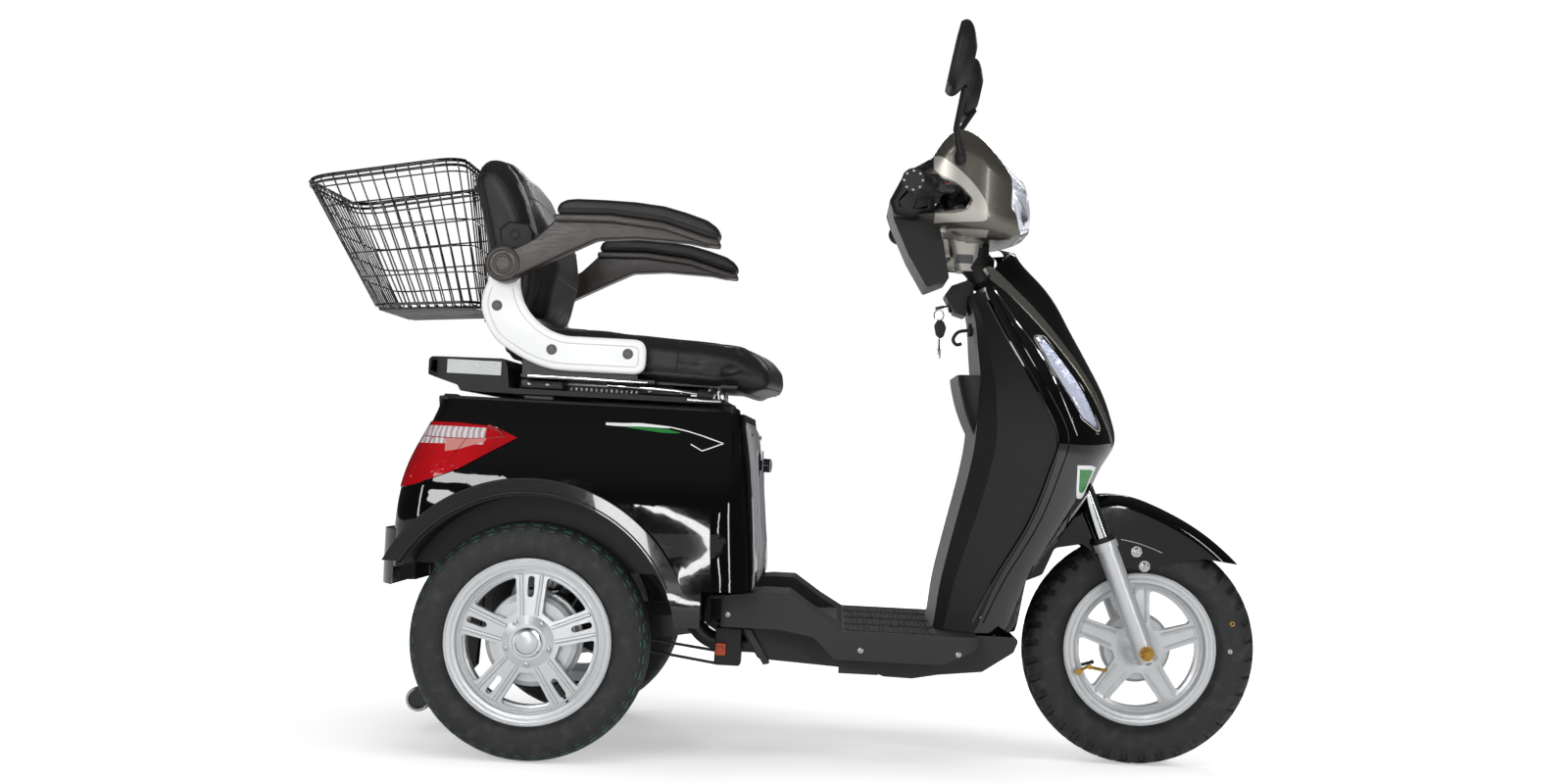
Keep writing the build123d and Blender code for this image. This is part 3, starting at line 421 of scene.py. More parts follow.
def inflated(obj, cap, pressure=4.0, voxel=5.0):
    """Swells a cushion with a short cloth run and moves no point by more than cap."""
    scene = bpy.context.scene
    mesh = obj.data
    bpy.context.view_layer.objects.active = obj
    remesh = obj.modifiers.new("even", "REMESH")
    remesh.mode = "VOXEL"
    remesh.voxel_size = voxel * MM
    remesh.use_smooth_shade = True
    depsgraph = bpy.context.evaluated_depsgraph_get()
    start = bpy.data.meshes.new_from_object(obj.evaluated_get(depsgraph))
    obj.modifiers.clear()
    obj.data = start
    rest = [v.co.copy() for v in start.vertices]
    cloth = obj.modifiers.new("cloth", "CLOTH")
    cloth.settings.use_pressure = True
    cloth.settings.uniform_pressure_force = pressure
    cloth.settings.effector_weights.gravity = 0
    cloth.settings.tension_stiffness = 25
    cloth.settings.compression_stiffness = 25
    cloth.point_cache.frame_start = 1
    cloth.point_cache.frame_end = 20
    for f in range(1, 21):
        scene.frame_set(f)
    depsgraph = bpy.context.evaluated_depsgraph_get()
    swollen = bpy.data.meshes.new_from_object(obj.evaluated_get(depsgraph))
    obj.modifiers.clear()
    for v, home in zip(swollen.vertices, rest):
        shift = v.co - home
        if shift.length > cap * MM:
            v.co = home + shift.normalized() * cap * MM
    obj.data = swollen
    scene.frame_set(1)
    swollen.shade_smooth()
    bpy.data.meshes.remove(mesh)
    return obj


# ------------------------ finishes
def add(tree, kind, sockets=None, **settings):
    """Adds a node with its settings; a socket's value sets it, or links it if it is another socket."""
    node = tree.nodes.new(kind)
    for key, value in settings.items():
        setattr(node, key, value)
    for key, value in (sockets or {}).items():
        if isinstance(value, bpy.types.NodeSocket):
            tree.links.new(value, node.inputs[key])
        else:
            node.inputs[key].default_value = value
    return node


def finish(name, colour, roughness, grain, depth, metallic=0.0, mottle=0.12, spread=0.05,
           stretch=(1, 1, 1), cells=False, worn=0.0, **sockets):
    """Material whose tone, roughness and relief vary. grain and depth are millimetres.

    Returns its node tree, its shader, the object coordinates and the node of the relief."""
    material = bpy.data.materials.new(name)
    material.use_nodes = True
    tree = material.node_tree
    tree.nodes.clear()
    coords = add(tree, "ShaderNodeTexCoord").outputs["Object"]
    scale = [s / (grain * MM) for s in stretch]
    place = add(tree, "ShaderNodeMapping", {"Vector": coords, "Scale": scale}).outputs[0]
    fine = add(tree, "ShaderNodeTexNoise", {"Vector": place, "Scale": 1.0, "Detail": 3.0}).outputs[0]
    height = fine
    if cells:
        shift = add(tree, "ShaderNodeMixRGB", {0: 0.25, 1: place, 2: add(
            tree, "ShaderNodeTexNoise", {"Vector": place, "Scale": 0.7}).outputs[1]})
        crease = add(tree, "ShaderNodeTexVoronoi", {"Vector": shift.outputs[0], "Scale": 1.0},
                     feature="DISTANCE_TO_EDGE").outputs["Distance"]
        height = add(tree, "ShaderNodeMapRange", {"Value": crease, "From Max": 0.3},
                     interpolation_type="SMOOTHSTEP").outputs[0]
    broad = add(tree, "ShaderNodeTexNoise", {"Vector": coords, "Scale": 9.0, "Detail": 4.0}).outputs[0]
    dark = [c * (1 - mottle) for c in colour[:3]] + [1]
    light = [min(1.0, c * (1 + mottle) + mottle * 0.004) for c in colour[:3]] + [1]
    tone = add(tree, "ShaderNodeMixRGB", {0: broad, 1: dark, 2: light}).outputs[0]
    if worn:
        edge = add(tree, "ShaderNodeMapRange", {
            "Value": add(tree, "ShaderNodeNewGeometry").outputs["Pointiness"],
            "From Min": 0.53, "From Max": 0.62, "To Max": worn}).outputs[0]
        rubbed = [min(1.0, c * 1.7 + 0.02) for c in colour[:3]] + [1]
        tone = add(tree, "ShaderNodeMixRGB", {0: edge, 1: tone, 2: rubbed}).outputs[0]
    rough = add(tree, "ShaderNodeMapRange", {
        "Value": fine, "From Min": 0.3, "From Max": 0.7,
        "To Min": max(0.0, roughness - spread), "To Max": roughness + spread}).outputs[0]
    relief = add(tree, "ShaderNodeBump", {"Height": height, "Strength": 0.7, "Distance": depth * MM})
    shader = add(tree, "ShaderNodeBsdfPrincipled", {
        "Base Color": tone, "Roughness": rough, "Metallic": metallic, "Normal": relief.outputs[0],
        **{key.replace("_", " "): value for key, value in sockets.items()}})
    add(tree, "ShaderNodeOutputMaterial", {"Surface": shader.outputs[0]})
    return tree, shader, coords, relief


def make_tyre_rubber(name, colour, x, z, lines, line_colour):
    """Vulcanised rubber: dull, slightly dusty, fine turned rings on the wall and coloured dashes."""
    tree, shader, coords, relief = finish(name, colour, 0.62, 1.6, 0.05, mottle=0.22, spread=0.09)
    arm = add(tree, "ShaderNodeVectorMath", {0: coords, 1: (x * MM, 0, z * MM)}, operation="SUBTRACT")
    flat = add(tree, "ShaderNodeVectorMath", {0: arm.outputs[0], 1: (1, 0, 1)}, operation="MULTIPLY")
    reach = add(tree, "ShaderNodeVectorMath", {0: flat.outputs[0]}, operation="LENGTH").outputs["Value"]
    parts = add(tree, "ShaderNodeSeparateXYZ", {0: arm.outputs[0]})
    turn = add(tree, "ShaderNodeMath", {0: parts.outputs[2], 1: parts.outputs[0]},
               operation="ARCTAN2").outputs[0]
    ring = add(tree, "ShaderNodeMath", {0: add(
        tree, "ShaderNodeMath", {0: reach, 1: 2200.0}, operation="MULTIPLY").outputs[0]}, operation="SINE")
    dust = add(tree, "ShaderNodeTexNoise", {"Vector": coords, "Scale": 45.0, "Detail": 6.0})
    tone = shader.inputs["Base Color"].links[0].from_socket
    dusted = add(tree, "ShaderNodeMapRange", {
        "Value": dust.outputs[0], "From Min": 0.5, "From Max": 0.75, "To Max": 0.35})
    tone = add(tree, "ShaderNodeMixRGB", {0: dusted.outputs[0], 1: tone, 2: linear("#4a4643")}).outputs[0]
    for radius, width, count, fill in lines:
        wave = add(tree, "ShaderNodeMath", {0: add(
            tree, "ShaderNodeMath", {0: turn, 1: float(count)}, operation="MULTIPLY").outputs[0]},
                   operation="SINE")
        dash = add(tree, "ShaderNodeMath", {0: wave.outputs[0], 1: fill}, operation="GREATER_THAN")
        near = add(tree, "ShaderNodeMath", {0: reach, 1: radius * MM, 2: width * MM}, operation="COMPARE")
        mask = add(tree, "ShaderNodeMath", {0: dash.outputs[0], 1: near.outputs[0]}, operation="MULTIPLY")
        tone = add(tree, "ShaderNodeMixRGB", {0: mask.outputs[0], 1: tone, 2: line_colour}).outputs[0]
    tree.links.new(tone, shader.inputs["Base Color"])
    rings = add(tree, "ShaderNodeBump", {
        "Height": ring.outputs[0], "Strength": 0.25, "Distance": 0.15 * MM, "Normal": relief.outputs[0]})
    tree.links.new(rings.outputs[0], shader.inputs["Normal"])


def make_lamp_red(colour, clear):
    """Moulded acrylic in two shots: prisms glow red below, a clear band lies above."""
    tree, shader, coords, _ = finish(
        "acrylic_red_moulded", colour, 0.12, 6.0, 0.3, mottle=0.6, spread=0.03, cells=True,
        Coat_Weight=0.6, Coat_Roughness=0.02, Specular_IOR_Level=0.2)
    parts = add(tree, "ShaderNodeSeparateXYZ", {0: coords})
    # the clear band stands above a line that rises slightly to the front, in metres
    lean = add(tree, "ShaderNodeMath", {0: parts.outputs[0], 1: 0.02, 2: 0.5405}, operation="MULTIPLY_ADD")
    upper = add(tree, "ShaderNodeMath", {0: parts.outputs[2], 1: lean.outputs[0]}, operation="GREATER_THAN")
    for socket, limit in ((0, (XR - 98) * MM), (2, 0.559)):
        short = add(tree, "ShaderNodeMath", {0: parts.outputs[socket], 1: limit}, operation="LESS_THAN")
        upper = add(tree, "ShaderNodeMath", {0: upper.outputs[0], 1: short.outputs[0]}, operation="MULTIPLY")
    ribs = add(tree, "ShaderNodeTexWave", {"Vector": coords, "Scale": 34.0, "Distortion": 5.0, "Detail": 3.0},
               bands_direction="X")
    glow = add(tree, "ShaderNodeMixRGB", {0: ribs.outputs[0], 1: clear, 2: linear("#a58f91")})
    tone = shader.inputs["Base Color"].links[0].from_socket
    mixed = add(tree, "ShaderNodeMixRGB", {0: upper.outputs[0], 1: tone, 2: glow.outputs[0]})
    tree.links.new(mixed.outputs[0], shader.inputs["Base Color"])


def make_finishes(colours):
    """Every material of the scooter, named for what the real surface is and how it is made."""
    # lacquer over moulded ABS: deep black with clean lamp reflections and a trace of orange peel
    finish("abs_gloss_lacquered", colours.lacquer, 0.06, 7.0, 0.008, mottle=0.1, spread=0.02,
           Coat_Weight=0.9, Coat_Roughness=0.015, Specular_IOR_Level=0.3)
    # spark-eroded mould texture: soft broad sheen, grit drawn as coarse as it shows
    finish("abs_spark_textured", colours.matt_plastic, 0.46, 1.5, 0.09, mottle=0.1, spread=0.06,
           Specular_IOR_Level=0.3)
    # the same plastic where it is stepped on: rubbed edges and dust
    finish("abs_spark_textured_worn", colours.matt_plastic, 0.55, 1.7, 0.12, mottle=0.25, spread=0.1,
           worn=0.5, Specular_IOR_Level=0.3)
    # metallic paint: warm grey flake under clear coat
    finish("abs_metallic_painted", colours.cowl, 0.32, 1.2, 0.02, metallic=0.7, mottle=0.12, spread=0.08,
           Coat_Weight=0.5, Coat_Roughness=0.08)
    # silver paint on the trim and neck: lighter and duller than the cowl
    finish("abs_silver_painted", colours.trim, 0.34, 1.2, 0.02, metallic=0.45, mottle=0.08, spread=0.06,
           Coat_Weight=0.3, Coat_Roughness=0.15)
    # cast wheels under silver lacquer: pale, even, faint casting skin
    finish("aluminium_cast_lacquered", colours.wheel, 0.33, 9.0, 0.004, metallic=0.5, mottle=0.05,
           spread=0.05, Coat_Weight=0.35, Coat_Roughness=0.12)
    # hard chrome on ground tube
    finish("steel_chromed", linear("#d9dbdd"), 0.07, 12.0, 0.001, metallic=1.0, mottle=0.04, spread=0.03,
           stretch=(1, 1, 0.2))
    # bright zinc on screws and plates
    finish("steel_zinc_plated", linear("#a9abad"), 0.3, 2.0, 0.02, metallic=1.0, mottle=0.2, spread=0.1)
    # yellow passivated zinc on nuts and adjusters
    finish("steel_yellow_zinc_plated", linear("#b58d45"), 0.28, 1.5, 0.02, metallic=1.0, mottle=0.3,
           spread=0.1)
    # powder coat on welded tube: slightly pebbled
    finish("steel_powder_coated", linear("#121213"), 0.4, 2.2, 0.05, mottle=0.15, spread=0.08, worn=0.25)
    # basket wire dipped in black vinyl: smooth and glossy
    finish("steel_wire_vinyl_dipped", linear("#0b0b0c"), 0.22, 6.0, 0.03, mottle=0.1, spread=0.05,
           Coat_Weight=0.4, Coat_Roughness=0.1)
    # vinyl-coated cloth embossed like hide; the grain is drawn coarser than life so that it shows
    finish("leatherette_embossed", colours.leatherette, 0.42, 2.2, 0.07, mottle=0.14, spread=0.07, cells=True,
           Sheen_Weight=0.04, Sheen_Roughness=0.4, Specular_IOR_Level=0.38)
    # glass-filled nylon: long streaks where the melt flowed, brownish cast
    finish("nylon_moulded_streaked", colours.arm, 0.36, 2.0, 0.03, mottle=0.22, spread=0.09,
           stretch=(0.1, 1, 1))
    # plain moulded covers
    finish("abs_white_moulded", colours.bracket, 0.3, 3.0, 0.015, mottle=0.02, spread=0.05,
           Coat_Weight=0.25, Coat_Roughness=0.2)
    finish("abs_white_shade", linear("#c9cbcc"), 0.35, 3.0, 0.015, mottle=0.02, spread=0.05)
    finish("abs_grey_dark_moulded", linear("#55565a"), 0.4, 2.0, 0.03, mottle=0.08, spread=0.05)
    finish("abs_grey_moulded", colours.cover, 0.42, 1.5, 0.05, mottle=0.05, spread=0.05)
    finish("polypropylene_battery_case", linear("#1f2124"), 0.5, 2.0, 0.05, mottle=0.2, spread=0.08)
    # soft rubber with a bloom
    finish("rubber_moulded", linear("#161617"), 0.62, 1.6, 0.08, mottle=0.2, spread=0.08)
    # lamp bowls coated with aluminium in a vacuum, in flutes
    finish("aluminium_vacuum_coated", linear("#d3d5dc"), 0.12, 5.0, 0.4, metallic=1.0, mottle=0.12,
           spread=0.06, cells=True)
    # anodised strip, brushed along its length
    finish("aluminium_anodised_brushed", colours.strip, 0.3, 0.9, 0.02, metallic=0.9, mottle=0.1, spread=0.1,
           stretch=(1, 1, 0.08))
    # clear lenses: faint flutes, cool tint
    finish("polycarbonate_clear_moulded", linear("#eef0f6"), 0.04, 9.0, 0.12, mottle=0.03, spread=0.02,
           Transmission_Weight=1.0, IOR=1.5)
    # corner-cube reflector plate: pale with a fine net
    finish("acrylic_prismatic_white", linear("#c4c8c6"), 0.12, 3.2, 0.2, mottle=0.12, spread=0.05, cells=True,
           Coat_Weight=1.0, Coat_Roughness=0.05)
    finish("acrylic_red_reflector", linear("#8c0c12"), 0.12, 3.2, 0.2, mottle=0.25, spread=0.05, cells=True,
           Coat_Weight=1.0, Coat_Roughness=0.05)
    # pale pink patch on the tail lamp, below its clear band
    finish("acrylic_pink_moulded", linear("#c4827c"), 0.1, 4.0, 0.15, mottle=0.15, spread=0.04, cells=True,
           Coat_Weight=1.0, Coat_Roughness=0.03)
    # amber acrylic for the turn lamps' bulbs
    finish("acrylic_amber_moulded", linear("#d07a1c"), 0.1, 3.0, 0.1, mottle=0.2, spread=0.03,
           Coat_Weight=0.8)
    # silvered glass
    finish("glass_silvered", linear("#eceef0"), 0.012, 30.0, 0.001, metallic=1.0, mottle=0.01, spread=0.004)
    # display window over a dark liquid-crystal panel
    finish("glass_display_dark", linear("#10151a"), 0.06, 10.0, 0.002, mottle=0.3, spread=0.02,
           Coat_Weight=1.0, Coat_Roughness=0.02)
    # cut vinyl film
    finish("vinyl_film_white", linear("#e6e8e8"), 0.25, 2.0, 0.01, mottle=0.03, spread=0.05, Coat_Weight=0.5)
    finish("vinyl_film_green", linear("#1f7a35"), 0.25, 2.0, 0.01, mottle=0.35, spread=0.05, Coat_Weight=0.5)
    finish("nylon_orange_moulded", linear("#b8481c"), 0.4, 2.0, 0.03, mottle=0.15, spread=0.05)
    finish("nylon_red_moulded", linear("#8f1d1d"), 0.3, 2.0, 0.02, mottle=0.1, spread=0.05)
    make_lamp_red(colours.lamp, linear("#d8d5d8"))
    make_tyre_rubber("rubber_vulcanised_street", colours.rubber, XR, ZR,
                     [(196.5, 0.8, 46, -0.1), (190.5, 0.5, 46, 0.45), (199.5, 0.4, 92, 0.2)],
                     linear("#35675c"))
    make_tyre_rubber("rubber_vulcanised_block", colours.rubber, XF, ZF, [], linear("#35675c"))


NODE_FINISH = {
    "steel_powder_coated": "main_frame motor_axle anti_tip_brackets seat_rails seat_frame handlebar",
    "polypropylene_battery_case": "battery_block",
    "steel_zinc_plated": "rear_shocks",
    "abs_gloss_lacquered": "rear_body rear_bumper front_apron front_mudguard",
    "acrylic_red_moulded": "tail_lights",
    "abs_spark_textured": "wheel_arch_liners leg_shield ignition_lock seat_deck brake_levers "
                          "dash_panel mirrors",
    "abs_grey_moulded": "battery_cover",
    "abs_spark_textured_worn": "footboard belly_pan",
    "polycarbonate_clear_moulded": "side_lamps headlight_lens",
    "acrylic_prismatic_white": "deck_reflectors",
    "leatherette_embossed": "seat_cushion backrest arm_pad_left arm_pad_right",
    "abs_white_moulded": "seat_brackets",
    "steel_wire_vinyl_dipped": "basket",
    "nylon_moulded_streaked": "armrest_left armrest_right",
    "aluminium_cast_lacquered": "fork front_rim rear_rim_left rear_rim_right",
    "rubber_moulded": "grips anti_tip_wheel_left anti_tip_wheel_right",
    "abs_metallic_painted": "head_cowl",
    "rubber_vulcanised_block": "front_tyre",
    "rubber_vulcanised_street": "rear_tyre_left rear_tyre_right",
}


def finish_nodes():
    """Gives every CAD node its material."""
    for name, nodes in NODE_FINISH.items():
        material = bpy.data.materials[name]
        for node in nodes.split():
            obj = NODES[node]
            if not obj.material_slots:
                obj.data.materials.append(material)
            for place in obj.material_slots:
                place.material = material


# ------------------------ wheels
def street_tread(turn, across):
    """Depth share of the rear tread: two wavy grooves and slanted sipes."""
    phase = turn * 44 / (2 * math.pi) % 1
    wave = abs(phase - 0.5) * 2
    a = abs(across)
    if abs(a - 0.24 - 0.07 * wave) < 0.045:
        return 0.8
    if 0.4 < a < 0.93 and (phase + a * 0.8) % 1 < 0.16:
        return 0.6
    return 0.0


def block_tread(turn, across):
    """Depth share of the front tread: staggered blocks with deep shoulder notches."""
    phase = turn * 38 / (2 * math.pi) % 1
    a = abs(across)
    if across > 0:
        phase = (phase + 0.5) % 1
    if a > 0.5:
        return 1.0 if (phase + a * 0.35) % 1 < 0.36 else 0.0
    if 0.4 < a:
        return 0.7
    if a < 0.06:
        return 0.6
    return 0.9 if (phase + a * 0.9 + 0.3) % 1 < 0.26 else 0.0


def tyre_shape(centre, radius, half, around, depth, tread):
    """Tyre skin turned about Y with its tread cut in and ribs on its walls."""
    flange = RIM_FLANGE
    wall = radius - flange
    keys = [
        (28.5, 128.6), (28.5, flange - 3), (32.0, flange + 1.6), (half * 0.93, flange + wall * 0.16),
        (half * 0.995, flange + wall * 0.4), (half * 0.97, flange + wall * 0.62),
        (half * 0.84, radius - wall * 0.17), (half * 0.52, radius - wall * 0.045), (0, radius),
    ]
    profile = spline(keys + [(-y, r) for y, r in reversed(keys[:-1])], 71)
    last = len(profile) - 1
    normals = []
    for i in range(len(profile)):
        run = profile[min(i + 1, last)] - profile[max(i - 1, 0)]
        normals.append(Vector((-run.y, run.x)).normalized())
    rings = []
    for k in range(around):
        turn = 2 * math.pi * k / around
        ring = []
        for p, n in zip(profile, normals):
            if n.dot(Vector((p.x, p.y - radius * 0.8))) < 0:
                n = -n
            cut = 0.0
            if p.y > radius - wall * 0.36:
                fade = min(1.0, (p.y - radius + wall * 0.36) / (wall * 0.12))
                cut = depth * tread(turn, p.x / half) * fade
            elif abs(p.y - flange - wall * 0.24) < 1.2:
                cut = -0.7
            elif abs(p.y - flange - wall * 0.56) < 1.0:
                cut = -0.5
            elif flange + wall * 0.3 < p.y < flange + wall * 0.5 and k % 6 < 1:
                cut = -0.25
            q = p - n * cut
            r = min(q.y, radius)
            ring.append((centre[0] + r * math.cos(turn), centre[1] + q.x, centre[2] + r * math.sin(turn)))
        rings.append(ring)
    return skinned(rings, loop=True)


def build_tyres(sizes):
    for side, name in SIDES:
        tread = tyre_shape((XR, side * REAR_Y, ZR), REAR_RADIUS, 40, 540, sizes.rear_tread, street_tread)
        piece(f"rear_tyre_tread_{name}", tread, "rubber_vulcanised_street", f"rear_wheel_{name}",
              [f"rear_tyre_{name}"], 60)
    tread = tyre_shape((XF, 0, ZF), FRONT_RADIUS, 46, 608, sizes.front_tread, block_tread)
    piece("front_tyre_tread", tread, "rubber_vulcanised_block", "front_wheel",
          ["front_tyre"], 50)
    # balance marks on the front tyre's right wall
    for name, metal, reach, angle, inner in (("yellow", "steel_yellow_zinc_plated", 175, 19, 2.6),
                                             ("pale", "steel_zinc_plated", 164, 2, 1.2)):
        x, z = polar((XF, ZF), reach, angle)
        mark = lathe([(0, inner), (0.7, inner), (0.9, 4.4), (0, 4.8)], (x, -45.4, z), (0, -1, 0), 24,
                     caps=False)
        piece(f"front_tyre_mark_{name}", mark, metal, "front_wheel")


def hexagon(centre, axis, across, height):
    """Chamfered hexagonal nut or bolt head."""
    r = across / math.sqrt(3)
    return lathe([(0, r), (height * 0.8, r), (height, r * 0.86), (height, 0)], centre, axis, 6)


def spoke_ridge(node, hub, side, angle, inner, outer, offsets, radius):
    """Raised bead down a spoke, beside its middle by the two offsets at its root and tip."""
    t = math.radians(angle)
    ray, off = Vector((math.cos(t), math.sin(t))), Vector((-math.sin(t), math.cos(t)))
    spots = []
    for k in range(17):
        s = k / 16
        aside = offsets[0] + (offsets[1] - offsets[0]) * s
        p = Vector(hub) + ray * (inner + (outer - inner) * s) + off * aside
        hit = landed(node, p.x, p.y, side)
        if hit and (not spots or abs(hit[0].y - spots[-1].y) < 9):
            spots.append(hit[0])
    return pipe(spots, radius, 8) if len(spots) > 3 else ([], [])


def rim_ring(node, hub, side, reach, radius):
    """Rolled bead round a rim's face."""
    spots = []
    for k in range(96):
        t = 2 * math.pi * k / 96
        hit = landed(node, hub[0] + reach * math.cos(t), hub[1] + reach * math.sin(t), side)
        if hit:
            spots.append(hit[0])
    return pipe(spots, radius, 8, loop=True) if len(spots) == 96 else ([], [])


def rim_ridges(node, hub, side, inner, outer, offsets, radius):
    """Beads round a rim's face and down both edges of its spokes."""
    shapes = [rim_ring(node, hub, side, reach, bead) for reach, bead in RIM_BEADS]
    for k in range(SPOKES):
        for sign in (1, -1):
            edges = [sign * offset for offset in offsets]
            shapes.append(spoke_ridge(node, hub, side, 90 + SPOKE_TURN * k, inner, outer, edges, radius))
    return shapes


def build_wheel_ridges():
    tip_x, tip_z = XR - 229, 65       # axle of the anti-tip wheels
    for side, name in SIDES:
        shapes = rim_ridges(f"rear_rim_{name}", (XR, ZR), side, 44, 113, (12, 17.5), 3.6)
        piece(f"wheel_ridges_{name}", joined(*shapes), "aluminium_cast_lacquered", f"rear_wheel_{name}",
              (), 70)
        hit = landed(f"anti_tip_wheel_{name}", tip_x + 14, tip_z, side)
        if hit:
            face = (tip_x, hit[0].y, tip_z)
            cap = joined(lathe([(-1, 21), (0.8, 20.6), (0.8, 17.4), (-1, 17)], face, (0, side, 0), 40,
                               caps=False),
                         lathe([(-1, 9), (1.4, 8.6), (2.2, 6), (2.4, 0)], face, (0, side, 0), 28))
            piece(f"tip_wheel_cap_{name}", cap, "steel_zinc_plated", f"tip_wheel_{name}")
    shapes = [bead for side in (1, -1)
              for bead in rim_ridges("front_rim", (XF, ZF), side, 48, 112, (13, 10), 2.6)]
    piece("wheel_ridges_front", joined(*shapes), "aluminium_cast_lacquered", "front_wheel",
          (), 70)


def valve(hub, y, degrees, lean, profile):
    """Valve that points from the rim towards the hub and leans to one side."""
    x, z = polar(hub, 119, degrees)
    inwards = polar((0, 0), -1, degrees)
    return lathe(profile, (x, y, z), Vector((inwards[0], lean, inwards[1])).normalized(), 16)


def build_wheel_fittings():
    for side, name in SIDES:
        out = (0, side, 0)
        face = (XR, side * (REAR_Y + 38), ZR)
        ring = lathe([(-6, 25), (-1, 25), (0.6, 23.5), (0.8, 20), (-0.4, 18.6), (-1, 18)], face, out, 64,
                     caps=False)
        piece(f"hub_ring_{name}", ring, "steel_chromed", f"rear_wheel_{name}")
        dome = lathe([(-1.0, 18.4), (0.2, 18), (1.6, 14), (2.4, 8), (2.7, 0)], face, out, 48)
        piece(f"hub_dome_{name}", dome, "aluminium_cast_lacquered", f"rear_wheel_{name}")
        bolts = []
        for k in range(SPOKES):
            x, z = polar((XR, ZR), 38, 90 + SPOKE_TURN // 2 + SPOKE_TURN * k)
            spot = (x, side * (REAR_Y + 27), z)
            bolts.append(lathe([(-4, 5), (0.5, 5), (1.2, 3.8), (1.2, 0)], spot, out, 20))
        stem = valve((XR, ZR), side * (REAR_Y + 16), 306 if side < 0 else 234, side * 0.35,
                     [(-4, 5.5), (4, 5), (8, 3.2), (24, 3), (24.5, 4), (33, 4), (34, 3.2)])
        piece(f"hub_bolts_{name}", joined(*bolts), "steel_zinc_plated", f"rear_wheel_{name}")
        piece(f"tyre_valve_{name}", stem, "rubber_moulded", f"rear_wheel_{name}")
        # backing plate, brake arm and adjuster behind the spokes
        plate_y = side * (REAR_Y - 42)
        plate = lathe([(-3, 30), (-3, 82), (0, 84), (3, 82), (4, 60), (6, 40), (6, 30)], (XR, plate_y, ZR),
                      out, 48, caps=False)
        piece(f"brake_plate_{name}", plate, "aluminium_cast_lacquered", "chassis")
        adjuster = joined(
            pipe([(XR - 46, plate_y + side * 6, ZR + 14), (XR - 62, plate_y + side * 8, ZR + 40)], 4.5, 12),
            hexagon((XR - 46, plate_y + side * 5, ZR + 14), out, 14, 7),
            hexagon((XR - 62, plate_y + side * 5, ZR + 41), out, 12, 8),
            pipe([(XR - 74, plate_y + side * 8, ZR + 16), (XR - 46, plate_y + side * 8, ZR + 16)], 3, 10))
        piece(f"brake_adjuster_{name}", adjuster, "steel_yellow_zinc_plated", "chassis")
        end = (XF, side * 107, ZF)
        nut = joined(
            lathe([(-4, 13.5), (-1.6, 13.5), (-1.6, 0)], end, out, 32),
            hexagon((XF, side * 105, ZF), out, 19, 9),
            lathe([(7, 6), (12, 6), (13, 5), (13, 0)], end, out, 20))
        piece(f"axle_nut_{name}", nut, "steel_yellow_zinc_plated", "steering")
    build_wheel_ridges()
    stem = valve((XF, ZF), 0, 200, -0.3, [(-4, 5.5), (4, 5), (8, 3.2), (26, 3), (34, 4), (35, 3)])
    piece("tyre_valve_front", stem, "rubber_moulded", "front_wheel")
    # front brake arm with its two nuts, behind and below the hub
    arm = joined(
        pipe([(XF - 60, -40, ZF - 42), (XF - 96, -40, ZF - 36), (XF - 112, -40, ZF - 46)], 3.2, 10),
        hexagon((XF - 112, -44, ZF - 46), (0, 1, 0), 11, 8),
        hexagon((XF - 92, -44, ZF - 36), (0, 1, 0), 9, 8))
    piece("front_brake_arm", arm, "steel_yellow_zinc_plated", "steering")


# ------------------------ basket
def basket_loop(share, count, out=0.0):
    """The basket's outline at that share of its height, as evenly spread points."""
    length = 188 + (286 - 188) * share + 2 * out
    width = 260 + (336 - 260) * share + 2 * out
    corner = 30 + 15 * share
    tilt = math.radians(4.5 + 6 * share)
    reach = 143 * math.cos(math.radians(10.5))
    cx = XR - 246 + (reach - 467 + 246) * share
    cz = 770 + 240 * share
    a, b = length / 2, width / 2
    line = []
    for qx, qy, start in ((1, 1, 0), (-1, 1, 90), (-1, -1, 180), (1, -1, 270)):
        for s in range(9):
            t = math.radians(start + 90 * s / 8)
            line.append(Vector((qx * (a - corner) + corner * math.cos(t),
                                qy * (b - corner) + corner * math.sin(t))))
    first = Vector((a, 0))
    line = [first] + line + [first]
    ring = []
    for p in even(line, count + 1)[:-1]:
        ring.append(Vector((cx + p.x * math.cos(tilt), p.y, cz + p.x * math.sin(tilt))))
    return ring


